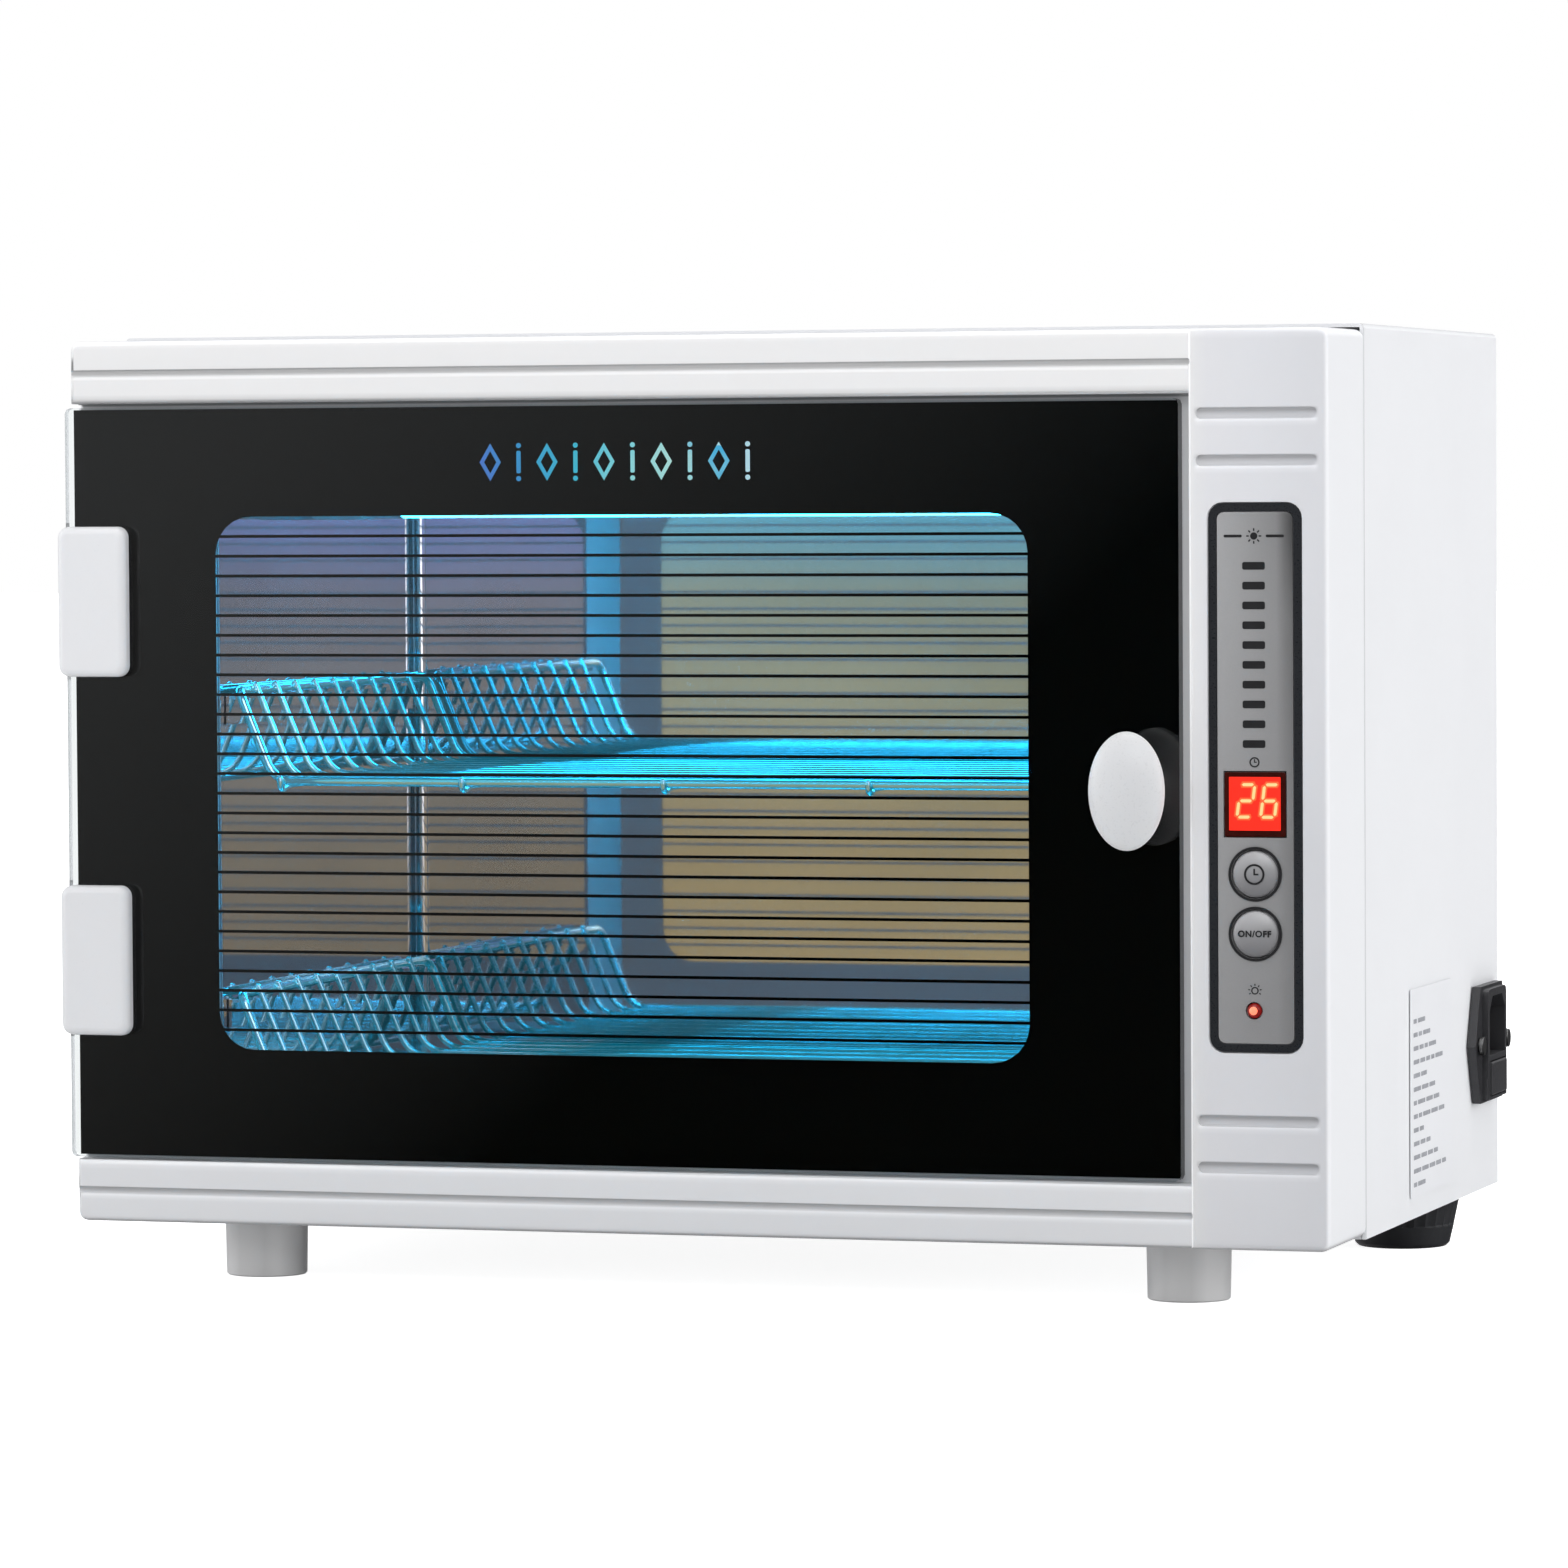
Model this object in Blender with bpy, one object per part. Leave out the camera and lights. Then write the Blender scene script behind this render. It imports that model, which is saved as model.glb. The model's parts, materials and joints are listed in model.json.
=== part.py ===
"""UV sterilizer cabinet: a sheet-metal chamber behind a moulded front frame with a hinged glass door.

Run with: blender --background --python part.py
Metres, +Z up. The front faces -Y. Sizes below are in the frame's own axes: X runs from the front
frame's left end, Y goes back from the control pillar's front face, and Z starts at the frame's
underside. One empty moves everything, so that the world origin is the centre of the underside.
"""
import math

import bmesh
import bpy
from mathutils import Matrix, Vector

# Front frame
FRAME_WIDTH = 0.3500
FRAME_HEIGHT = 0.2391
FRAME_DEPTH = 0.0410
FRAME_CORNER = 0.0026
RAIL_SETBACK = 0.0012
RAIL_HEIGHT = 0.0169
PILLAR_WIDTH = 0.0372
LAND_Y = 0.0072
LAND_WALL = 0.0028
OPENING_LEFT, OPENING_RIGHT = 0.0270, 0.2860
OPENING_BOTTOM, OPENING_TOP = 0.0270, 0.2120
GROOVE_RADIUS = 0.0009
GROOVE_DROP = 0.0086
SLOT_LENGTH, SLOT_HEIGHT, SLOT_DEPTH = 0.0322, 0.0030, 0.0011
SLOT_LEVELS = (0.0215, 0.0337, 0.2049, 0.2171)
SLOT_X = 0.3311
STILE_CHAMFER = 0.0016

# Sheet-metal body
SHEET = 0.0010
BODY_FRONT, BODY_BACK = 0.0413, 0.2115
BODY_BOTTOM, BODY_TOP = -0.0006, 0.2407
BODY_CORNER = 0.0030
FOOT_HEIGHT = 0.0160
GAP = 0.0003
REAR_FLANGE = 0.0120
REAR_SCREWS = {"lower_left": (0.0080, 0.0140), "lower_right": (0.3420, 0.0140),
               "upper_left": (0.0080, 0.2260), "upper_right": (0.3420, 0.2260)}
VENT_COUNT = 6
BASE_SLOT_PITCH, LOUVRE_PITCH = 0.0070, 0.0080
CLEARANCE_HOLE = 0.0019

# Door
GLASS_LEFT, GLASS_RIGHT = -0.0018, 0.3099
GLASS_BOTTOM, GLASS_TOP = 0.0174, 0.2211
GLASS_FRONT, GLASS_THICKNESS = 0.0018, 0.0040
PRINT_MARGIN, PRINT_THICKNESS = 0.0014, 0.0002
WINDOW_LEFT, WINDOW_RIGHT = 0.0406, 0.2684
WINDOW_BOTTOM, WINDOW_TOP = 0.0472, 0.1915
WINDOW_RADIUS = 0.0102
LINE_COUNT, LINE_THICKNESS = 26, 0.0008
DOOR_AXIS_X, DOOR_AXIS_Y = 0.0040, 0.0125
HINGE_LEVELS = {"lower": 0.0712, "upper": 0.1686}
CLIP_LEFT, CLIP_RIGHT, CLIP_HALF = -0.0032, 0.0167, 0.02035
CLIP_FRONT = -0.0022
BARREL_RADIUS, BARREL_HALF = 0.0038, 0.0090
PIN_RADIUS, PIN_HOLE_RADIUS = 0.0016, 0.0017
NOTCH_BACK = 0.0220
BRACKET_HALF = 0.0172
KNOB_X, KNOB_Z = 0.2993, 0.1196
KNOB_FRONT = -0.0165
KNOB_HALF_WIDTH, KNOB_HALF_HEIGHT, KNOB_HALF_DEPTH = 0.01015, 0.01545, 0.0047
KNOB_HOLE = 0.0025
MAGNET_RADIUS = 0.0060
SWITCH_X, SWITCH_Z = 0.2970, 0.1960

# Control panel on the pillar
PANEL_X, PANEL_Z = 0.33055, 0.1227
PANEL_WIDTH, PANEL_HEIGHT = 0.0253, 0.1428
PANEL_RADIUS, PANEL_BORDER = 0.0042, 0.0022
RECESS_DEPTH = 0.0012
DISPLAY_X, DISPLAY_Z = 0.3304, 0.1159
DISPLAY_WIDTH, DISPLAY_HEIGHT = 0.0168, 0.0173
BUTTON_X = 0.3304
BUTTON_LEVELS = {"time": 0.0978, "power": 0.0823}
BUTTON_RADIUS = 0.0061
LED_X, LED_Z, LED_RADIUS = 0.3300, 0.0624, 0.0020
BOARD_FRONT = 0.0110

# Chamber and baskets
LINER_LEFT, LINER_RIGHT = 0.0275, 0.2855
LINER_BOTTOM, LINER_TOP = 0.0266, 0.2130
LINER_BACK = 0.1980
LINER_SHEET = 0.0008
BASKET_CENTRE = 0.1560
BASKET_FRONT, BASKET_BACK = 0.0435, 0.1940
BASKET_RIM_HALF = 0.1256
BASKET_SPLAY = 0.0120
BASKET_HEIGHT = 0.0250
BASKET_FLOORS = {"lower": 0.0346, "upper": 0.1185}
ROD_RADIUS, WIRE_RADIUS = 0.0013, 0.0009
CROSS_WIRES = 9
END_INSET = 0.0018
LONG_WIRE_PITCH = 0.0580
RUNNER_FRONT, RUNNER_BACK = 0.0450, 0.1915
RUNNER_LEDGE, RUNNER_WEB = 0.0029, 0.0080

# Lamp
LAMP_Y, LAMP_Z = 0.1200, 0.1980
LAMP_RADIUS = 0.0076
LAMP_LEFT, LAMP_RIGHT = 0.0443, 0.2677
CAP_LENGTH = 0.0088
LEAD_Z = LAMP_Z + 0.0070
WIRE_JACKET_RADIUS = 0.0013

# Mains inlet on the right side
INLET_Y, INLET_Z = 0.1875, 0.0410
INLET_FLANGE = 0.0027
INLET_FACE = 0.0044
INLET_HALF_WIDTH, INLET_HALF_HEIGHT = 0.0123, 0.0155
FUSE_DRAWER_PROUD = 0.0050
SCREW_HEAD = 0.0013
EAR_REACH, EAR_SHOULDER, EAR_HALF_HEIGHT = 0.0215, 0.0145, 0.0164
EAR_SCREW = 0.0165
INLET_DEPTH, SOCKET_DEPTH = 0.0285, 0.0156
LABEL_LOW, LABEL_HIGH = (0.0935, 0.0053), (0.1450, 0.0618)

# Feet
FRONT_FOOT_HALF, FRONT_FOOT_Y = 0.1303, 0.0280
REAR_FOOT_HALF, REAR_FOOT_Y = 0.1540, 0.1780
REAR_FOOT_BOTTOM, REAR_FOOT_TOP = 0.0133, 0.0164
RIB_COUNT, RIB_DEPTH = 28, 0.0007

# Reach of the whole object, from which its origin follows
REACH_LEFT, REACH_RIGHT = CLIP_LEFT, FRAME_WIDTH + FUSE_DRAWER_PROUD
REACH_FRONT, REACH_BACK = KNOB_FRONT, BODY_BACK + GAP + SCREW_HEAD
ORIGIN_X = (REACH_LEFT + REACH_RIGHT) / 2
ORIGIN_Y = (REACH_FRONT + REACH_BACK) / 2


def clear_scene():
    """Removes every object that the file opened with."""
    for item in list(bpy.data.objects):
        bpy.data.objects.remove(item, do_unlink=True)


def make_collection(name):
    collection = bpy.data.collections.new(name)
    bpy.context.scene.collection.children.link(collection)
    return collection


def make_material(name, colour, roughness, metallic=0.0, alpha=1.0):
    """A Principled material with the piece's plain colour."""
    material = bpy.data.materials.new(name)
    material.use_nodes = True
    shader = material.node_tree.nodes["Principled BSDF"]
    shader.inputs["Base Color"].default_value = (*colour, 1.0)
    shader.inputs["Roughness"].default_value = roughness
    shader.inputs["Metallic"].default_value = metallic
    shader.inputs["Alpha"].default_value = alpha
    material.diffuse_color = (*colour, alpha)
    return material


def make_empty(name, location, parent=None):
    """An empty at a place given in the frame's axes."""
    empty = bpy.data.objects.new(name, None)
    PARTS.objects.link(empty)
    empty.parent = parent
    empty.location = Vector(location) - (PLACES[parent.name] if parent else Vector((0, 0, 0)))
    PLACES[name] = Vector(location)
    return empty


def add_part(name, mesh, material, parent):
    """Links a mesh, whose points are in the frame's axes, under the empty that carries it."""
    part = bpy.data.objects.new(name, mesh)
    PARTS.objects.link(part)
    mesh.materials.append(material)
    part.parent = parent
    mesh.transform(Matrix.Translation(-PLACES[parent.name]))
    return part


def add_cutter(name, mesh, parent):
    """Links a cutter, hidden from renders."""
    cutter = bpy.data.objects.new(name, mesh)
    CUTTERS.objects.link(cutter)
    cutter.hide_render = True
    cutter.display_type = "WIRE"
    cutter.parent = parent
    mesh.transform(Matrix.Translation(-PLACES[parent.name]))
    return cutter


def combine(part, operand, operation="DIFFERENCE"):
    """Cuts a piece with a cutter, or joins a body to it."""
    modifier = part.modifiers.new(operand.name, "BOOLEAN")
    modifier.operation = operation
    modifier.solver = "EXACT"
    modifier.object = operand


def cut(part, name, mesh):
    combine(part, add_cutter(name, mesh, part.parent))


def join(part, name, mesh):
    combine(part, add_cutter(name, mesh, part.parent), "UNION")


def finish_mesh(bm, name):
    mesh = bpy.data.meshes.new(name)
    bm.normal_update()
    bm.to_mesh(mesh)
    bm.free()
    return mesh


def smooth(mesh, angle=35.0):
    """Shades a round mesh smooth, with its hard edges kept."""
    mesh.shade_smooth()
    mesh.set_sharp_from_angle(angle=math.radians(angle))
    return mesh


def add_box(bm, low, high):
    size = Vector(high) - Vector(low)
    centre = (Vector(high) + Vector(low)) / 2
    matrix = Matrix.Translation(centre) @ Matrix.Diagonal((*size, 1.0))
    bmesh.ops.create_cube(bm, size=1.0, matrix=matrix)


def edge_axis(edge):
    """The letter of the axis that an edge runs along, or an empty string."""
    run = (edge.verts[1].co - edge.verts[0].co).normalized()
    for letter, value in zip("XYZ", run):
        if abs(value) > 0.999:
            return letter
    return ""


def edge_middle(edge):
    return (edge.verts[0].co + edge.verts[1].co) / 2


def box_mesh(name, low, high, *rounds):
    """A box whose edges are rounded in steps of (radius, segments, chooser)."""
    bm = bmesh.new()
    add_box(bm, low, high)
    for radius, segments, chooser in rounds:
        edges = [edge for edge in bm.edges if chooser(edge_axis(edge), edge_middle(edge))]
        bmesh.ops.bevel(bm, geom=edges, offset=radius, segments=segments, profile=0.5, affect="EDGES")
    return finish_mesh(bm, name)


def boxes_mesh(name, boxes):
    """Separate boxes in one mesh, for a cutter."""
    bm = bmesh.new()
    for low, high in boxes:
        add_box(bm, low, high)
    return finish_mesh(bm, name)


def turn_to(axis):
    """Turns a primitive that stands along Z onto another axis."""
    turns = {"X": Matrix.Rotation(math.pi / 2, 4, "Y"), "Y": Matrix.Rotation(-math.pi / 2, 4, "X")}
    return turns.get(axis, Matrix.Identity(4))


def add_cylinder(bm, axis, centre, radius, length, sides, end_radius=None):
    """A cylinder or cone about an axis; end_radius is at its high end."""
    matrix = Matrix.Translation(centre) @ turn_to(axis)
    high_radius = radius if end_radius is None else end_radius
    bmesh.ops.create_cone(bm, cap_ends=True, segments=sides, radius1=radius, radius2=high_radius,
                          depth=length, matrix=matrix)


def cylinder_mesh(name, axis, start, end, radius, sides=24, end_radius=None):
    """A cylinder from one point to another along an axis."""
    bm = bmesh.new()
    centre = (Vector(start) + Vector(end)) / 2
    length = (Vector(end) - Vector(start)).length
    add_cylinder(bm, axis, centre, radius, length, sides, end_radius)
    return smooth(finish_mesh(bm, name))


def turned_mesh(name, axis, centre, profile, sides):
    """A turned shape: profile lists (distance from the axis, place along it), from pole to pole."""
    bm = bmesh.new()
    chain = [bm.verts.new((radius, 0.0, along)) for radius, along in profile]
    edges = [bm.edges.new(pair) for pair in zip(chain, chain[1:])]
    bmesh.ops.spin(bm, geom=chain + edges, cent=(0, 0, 0), axis=(0, 0, 1), angle=math.tau, steps=sides,
                   use_duplicate=False)
    bmesh.ops.remove_doubles(bm, verts=bm.verts, dist=0.000005)
    bmesh.ops.recalc_face_normals(bm, faces=bm.faces)
    bmesh.ops.transform(bm, matrix=Matrix.Translation(centre) @ turn_to(axis), verts=bm.verts)
    return smooth(finish_mesh(bm, name))


def rounded_plate(name, centre, width, height, front, back, radius, segments=5):
    """A plate that faces the front, with round corners."""
    x, z = centre
    low = (x - width / 2, front, z - height / 2)
    high = (x + width / 2, back, z + height / 2)
    return box_mesh(name, low, high, (radius, segments, lambda axis, middle: axis == "Y"))


def curve_mesh(name, points, radius, cyclic=False):
    """A tube along points, made from a bevelled curve and welded shut."""
    curve = bpy.data.curves.new(name, "CURVE")
    curve.dimensions = "3D"
    curve.bevel_depth = radius
    curve.bevel_resolution = 1
    curve.use_fill_caps = not cyclic
    spline = curve.splines.new("POLY")
    spline.points.add(len(points) - 1)
    for point, place in zip(spline.points, points):
        point.co = (*place, 1.0)
    spline.use_cyclic_u = cyclic
    guide = bpy.data.objects.new(name, curve)
    CUTTERS.objects.link(guide)
    return mesh_from_guide(guide, name)


def outline_mesh(name, outline, front, back):
    """A flat outline in X and Z, extruded from front to back."""
    curve = bpy.data.curves.new(name, "CURVE")
    curve.dimensions = "2D"
    curve.fill_mode = "BOTH"
    curve.extrude = (back - front) / 2
    spline = curve.splines.new("POLY")
    spline.points.add(len(outline) - 1)
    for point, (x, z) in zip(spline.points, outline):
        point.co = (x, z, 0.0, 1.0)
    spline.use_cyclic_u = True
    guide = bpy.data.objects.new(name, curve)
    CUTTERS.objects.link(guide)
    mesh = mesh_from_guide(guide, name)
    mesh.transform(Matrix.Rotation(math.pi / 2, 4, "X"))
    mesh.transform(Matrix.Translation((0.0, (front + back) / 2, 0.0)))
    return mesh


def mesh_from_guide(guide, name):
    """Turns a curve object into a welded mesh and removes the curve."""
    evaluated = guide.evaluated_get(bpy.context.evaluated_depsgraph_get())
    mesh = bpy.data.meshes.new_from_object(evaluated)
    mesh.name = name
    bm = bmesh.new()
    bm.from_mesh(mesh)
    bmesh.ops.remove_doubles(bm, verts=bm.verts, dist=0.000001)
    bmesh.ops.recalc_face_normals(bm, faces=bm.faces)
    bm.to_mesh(mesh)
    bm.free()
    bpy.data.objects.remove(guide, do_unlink=True)
    return mesh


def smooth_route(places, steps):
    """Points on a Catmull-Rom curve through a wire's own places."""
    ends = [places[0] * 2 - places[1]] + places + [places[-1] * 2 - places[-2]]
    points = []
    for before, start, end, after in zip(ends, ends[1:], ends[2:], ends[3:]):
        for step in range(steps):
            t = step / steps
            bend = (2 * before - 5 * start + 4 * end - after) * t * t
            twist = (3 * start - before - 3 * end + after) * t * t * t
            points.append((2 * start + (end - before) * t + bend + twist) / 2)
    points.append(places[-1])
    return points


def make_front_frame(parent, material):
    """Rails, stile and pillar in one moulding, hollow from behind."""
    corner = (FRAME_CORNER, 4, lambda axis, middle: axis == "Y")
    frame_mesh = box_mesh("front_frame", (0, LAND_Y, 0), (FRAME_WIDTH, FRAME_DEPTH, FRAME_HEIGHT), corner)
    frame = add_part("front_frame", frame_mesh, material, parent)
    pillar_left = FRAME_WIDTH - PILLAR_WIDTH
    block_back = LAND_Y + 0.0050
    left_corner = (FRAME_CORNER, 4, lambda axis, middle: axis == "Y" and middle.x < 0.01
                   and not RAIL_HEIGHT * 0.5 < middle.z < FRAME_HEIGHT - RAIL_HEIGHT * 0.5)
    rail_front = (0.0014, 3, lambda axis, middle: middle.y < RAIL_SETBACK + 0.0001)
    for name, low in (("bottom_rail", 0.0), ("top_rail", FRAME_HEIGHT - RAIL_HEIGHT)):
        rail = box_mesh(name, (0, RAIL_SETBACK, low), (pillar_left + 0.0030, block_back, low + RAIL_HEIGHT),
                        left_corner, rail_front)
        join(frame, name, rail)
    right_corner = (FRAME_CORNER, 4, lambda axis, middle: axis == "Y" and middle.x > FRAME_WIDTH - 0.001)
    pillar_front = (0.0015, 3, lambda axis, middle: middle.y < 0.0001)
    join(frame, "pillar", box_mesh("pillar", (pillar_left, 0, 0), (FRAME_WIDTH, block_back, FRAME_HEIGHT),
                                   right_corner, pillar_front))
    cut_frame_hollows(frame, pillar_left)
    cut_frame_front(frame, pillar_left)
    return frame


def cut_frame_hollows(frame, pillar_left):
    """The chamber opening, and the hollows behind rails, stile and pillar."""
    wall = LAND_WALL
    back = FRAME_DEPTH + 0.0020
    opening = ((OPENING_LEFT, -0.005, OPENING_BOTTOM), (OPENING_RIGHT, back, OPENING_TOP))
    cut(frame, "chamber_opening", boxes_mesh("chamber_opening", [opening]))
    top = FRAME_HEIGHT - wall
    rail_top_low = FRAME_HEIGHT - RAIL_HEIGHT + wall
    rail_back = RAIL_SETBACK + wall
    land_back = LAND_Y + wall
    hollows = {
        "top_rail_hollow": ((wall, rail_back, rail_top_low), (pillar_left - 0.004, back, top)),
        "top_land_hollow": ((OPENING_LEFT, land_back, OPENING_TOP + wall),
                            (OPENING_RIGHT, back, rail_top_low + 0.001)),
        "bottom_rail_hollow": ((wall, rail_back, wall), (pillar_left - 0.004, back, RAIL_HEIGHT - wall)),
        "bottom_land_hollow": ((OPENING_LEFT, land_back, RAIL_HEIGHT - wall - 0.001),
                               (OPENING_RIGHT, back, OPENING_BOTTOM - wall)),
        "stile_hollow": ((wall, NOTCH_BACK + wall, wall + 0.001), (OPENING_LEFT - wall, back, top - 0.001)),
        "right_land_hollow": ((OPENING_RIGHT + wall, land_back, wall + 0.001),
                              (pillar_left + 0.004, back, top - 0.001)),
        "pillar_hollow": ((pillar_left + wall, 0.0034, wall + 0.0005),
                          (FRAME_WIDTH - wall, back, top - 0.0005)),
    }
    for name, hollow in hollows.items():
        cut(frame, name, boxes_mesh(name, [hollow]))
    magnet_boss = box_mesh("magnet_boss", (OPENING_RIGHT + 0.001, land_back - 0.001, KNOB_Z - 0.0095),
                           (pillar_left - 0.002, land_back + 0.0058, KNOB_Z + 0.0095))
    join(frame, "magnet_boss", magnet_boss)
    pocket = cylinder_mesh("magnet_pocket", "Y", (KNOB_X, LAND_Y - 0.002, KNOB_Z), (KNOB_X, 0.0140, KNOB_Z),
                           MAGNET_RADIUS + 0.00035)
    cut(frame, "magnet_pocket", pocket)


def stile_chamfer_mesh():
    """A square bar set on edge, which bevels the corner that the door's back sweeps past."""
    half = 0.0030
    middle = Vector((STILE_CHAMFER / 2, LAND_Y + STILE_CHAMFER / 2, 0.0))
    outward = Vector((-1.0, -1.0, 0.0)).normalized()
    mesh = box_mesh("stile_chamfer", (-half, -half, RAIL_HEIGHT + 0.0002),
                    (half, half, FRAME_HEIGHT - RAIL_HEIGHT - 0.0002))
    mesh.transform(Matrix.Translation(middle + outward * half) @ Matrix.Rotation(math.pi / 4, 4, "Z"))
    return mesh


def cut_frame_front(frame, pillar_left):
    """Grooves, slots, hinge notches and the seats of the panel, buttons and door switch."""
    cut(frame, "stile_chamfer", stile_chamfer_mesh())
    groove_levels = (GROOVE_DROP, FRAME_HEIGHT - GROOVE_DROP)
    for index, level in enumerate(groove_levels):
        groove = cylinder_mesh("rail_groove", "X", (-0.001, RAIL_SETBACK, level),
                               (pillar_left + 0.0010, RAIL_SETBACK, level), GROOVE_RADIUS, 10)
        cut(frame, f"rail_groove_{index}", groove)
    for index, level in enumerate(SLOT_LEVELS):
        slot = rounded_plate("pillar_slot", (SLOT_X, level), SLOT_LENGTH, SLOT_HEIGHT, -0.002, SLOT_DEPTH,
                             SLOT_HEIGHT / 2 - 0.00001, 4)
        cut(frame, f"pillar_slot_{index}", slot)
    for level_name, level in HINGE_LEVELS.items():
        notch = ((-0.002, LAND_Y - 0.001, level - CLIP_HALF - 0.001),
                 (CLIP_RIGHT + 0.001, NOTCH_BACK, level + CLIP_HALF + 0.001))
        cut(frame, f"hinge_notch_{level_name}", boxes_mesh("hinge_notch", [notch]))
    seat = rounded_plate("panel_seat", (PANEL_X, PANEL_Z), PANEL_WIDTH, PANEL_HEIGHT, -0.002, RECESS_DEPTH,
                         PANEL_RADIUS)
    cut(frame, "panel_seat", seat)
    display_low = (DISPLAY_X - DISPLAY_WIDTH / 2, -0.001, DISPLAY_Z - DISPLAY_HEIGHT / 2)
    display_high = (DISPLAY_X + DISPLAY_WIDTH / 2, 0.006, DISPLAY_Z + DISPLAY_HEIGHT / 2)
    cut(frame, "display_hole", boxes_mesh("display_hole", [(display_low, display_high)]))
    for name, level in BUTTON_LEVELS.items():
        hole = cylinder_mesh("button_hole", "Y", (BUTTON_X, -0.001, level), (BUTTON_X, 0.006, level),
                             BUTTON_RADIUS + 0.0004)
        cut(frame, f"{name}_button_hole", hole)
    led_hole = cylinder_mesh("led_hole", "Y", (LED_X, -0.001, LED_Z), (LED_X, 0.006, LED_Z),
                             LED_RADIUS + GAP, 16)
    cut(frame, "led_hole", led_hole)
    switch_hole = cylinder_mesh("switch_hole", "Y", (SWITCH_X, 0.005, SWITCH_Z), (SWITCH_X, 0.012, SWITCH_Z),
                                CLEARANCE_HOLE, 16)
    cut(frame, "switch_hole", switch_hole)


def make_outer_shell(parent, material):
    """The sheet wrap: top, sides and a narrow rear flange, open at the front and below."""
    rear = lambda axis, middle: middle.y > BODY_BACK - 0.0001 and middle.z > BODY_BOTTOM + 0.001
    top = lambda axis, middle: axis == "Y" and middle.z > BODY_TOP - 0.0001
    shell_mesh = box_mesh("outer_shell", (0, BODY_FRONT, BODY_BOTTOM), (FRAME_WIDTH, BODY_BACK, BODY_TOP),
                          (0.0012, 2, top), (BODY_CORNER, 4, rear))
    shell = add_part("outer_shell", shell_mesh, material, parent)
    inner_rear = lambda axis, middle: middle.y > BODY_BACK - SHEET - 0.0001 and middle.z > 0
    inner = box_mesh("shell_inside", (SHEET, BODY_FRONT - 0.002, BODY_BOTTOM - 0.002),
                     (FRAME_WIDTH - SHEET, BODY_BACK - SHEET, BODY_TOP - SHEET),
                     (BODY_CORNER - SHEET, 3, inner_rear))
    cut(shell, "shell_inside", inner)
    opening = ((REAR_FLANGE, BODY_BACK - 0.004, REAR_FLANGE),
               (FRAME_WIDTH - REAR_FLANGE, BODY_BACK + 0.002, BODY_TOP - REAR_FLANGE))
    cut(shell, "rear_opening", boxes_mesh("rear_opening", [opening]))
    inlet = ((FRAME_WIDTH - 0.003, INLET_Y - INLET_HALF_WIDTH - GAP, INLET_Z - INLET_HALF_HEIGHT - GAP),
             (FRAME_WIDTH + 0.002, INLET_Y + INLET_HALF_WIDTH + GAP, INLET_Z + INLET_HALF_HEIGHT + GAP))
    cut(shell, "inlet_hole", boxes_mesh("inlet_hole", [inlet]))
    for name, (x, z) in REAR_SCREWS.items():
        hole = cylinder_mesh("rear_screw_hole", "Y", (x, BODY_BACK - 0.004, z), (x, BODY_BACK + 0.002, z),
                             CLEARANCE_HOLE, 12)
        cut(shell, f"rear_screw_hole_{name}", hole)
    return shell


def make_plates(parent, material):
    """The base plate with its air slots, and the rear cover with its louvres."""
    inset = SHEET + GAP
    base_mesh = box_mesh("base_plate", (inset, BODY_FRONT, BODY_BOTTOM),
                         (FRAME_WIDTH - inset, BODY_BACK - SHEET - GAP, BODY_BOTTOM + SHEET),
                         (BODY_CORNER, 3, lambda axis, middle: axis == "Z" and middle.y > BODY_FRONT + 0.01))
    base = add_part("base_plate", base_mesh, material, parent)
    slots = []
    for index in range(VENT_COUNT):
        x = 0.2960 + BASE_SLOT_PITCH * index
        slots.append(((x, 0.070, -0.005), (x + 0.0030, 0.120, 0.005)))
    cut(base, "base_slots", boxes_mesh("base_slots", slots))
    cover_back = BODY_BACK - SHEET - GAP
    cover_mesh = box_mesh("rear_cover", (0.0045, cover_back - SHEET, BODY_BOTTOM + SHEET + GAP + 0.001),
                          (FRAME_WIDTH - 0.0045, cover_back, BODY_TOP - 0.0045))
    cover = add_part("rear_cover", cover_mesh, material, parent)
    louvres = []
    for index in range(VENT_COUNT):
        z = 0.1500 + LOUVRE_PITCH * index
        louvres.append(((0.292, 0.200, z), (0.330, 0.215, z + 0.0030)))
    cut(cover, "rear_louvres", boxes_mesh("rear_louvres", louvres))
    for name, (x, z) in REAR_SCREWS.items():
        hole = cylinder_mesh("cover_hole", "Y", (x, cover_back - 0.004, z), (x, cover_back + 0.002, z),
                             CLEARANCE_HOLE, 12)
        cut(cover, f"cover_hole_{name}", hole)


def make_screw(name, axis, face, outward, length, head_radius, material, parent):
    """A pan-head screw: face is where its head sits, outward is +1 or -1 along the axis."""
    step = {"X": Vector((1, 0, 0)), "Y": Vector((0, 1, 0)), "Z": Vector((0, 0, 1))}[axis] * outward
    head_mesh = cylinder_mesh(name, axis, face, face + step * SCREW_HEAD, head_radius, 16)
    screw = add_part(name, head_mesh, material, parent)
    shank = cylinder_mesh(f"{name}_shank", axis, face - step * length, face + step * SCREW_HEAD / 2,
                          0.0015, 10)
    join(screw, f"{name}_shank", shank)
    return screw


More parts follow.
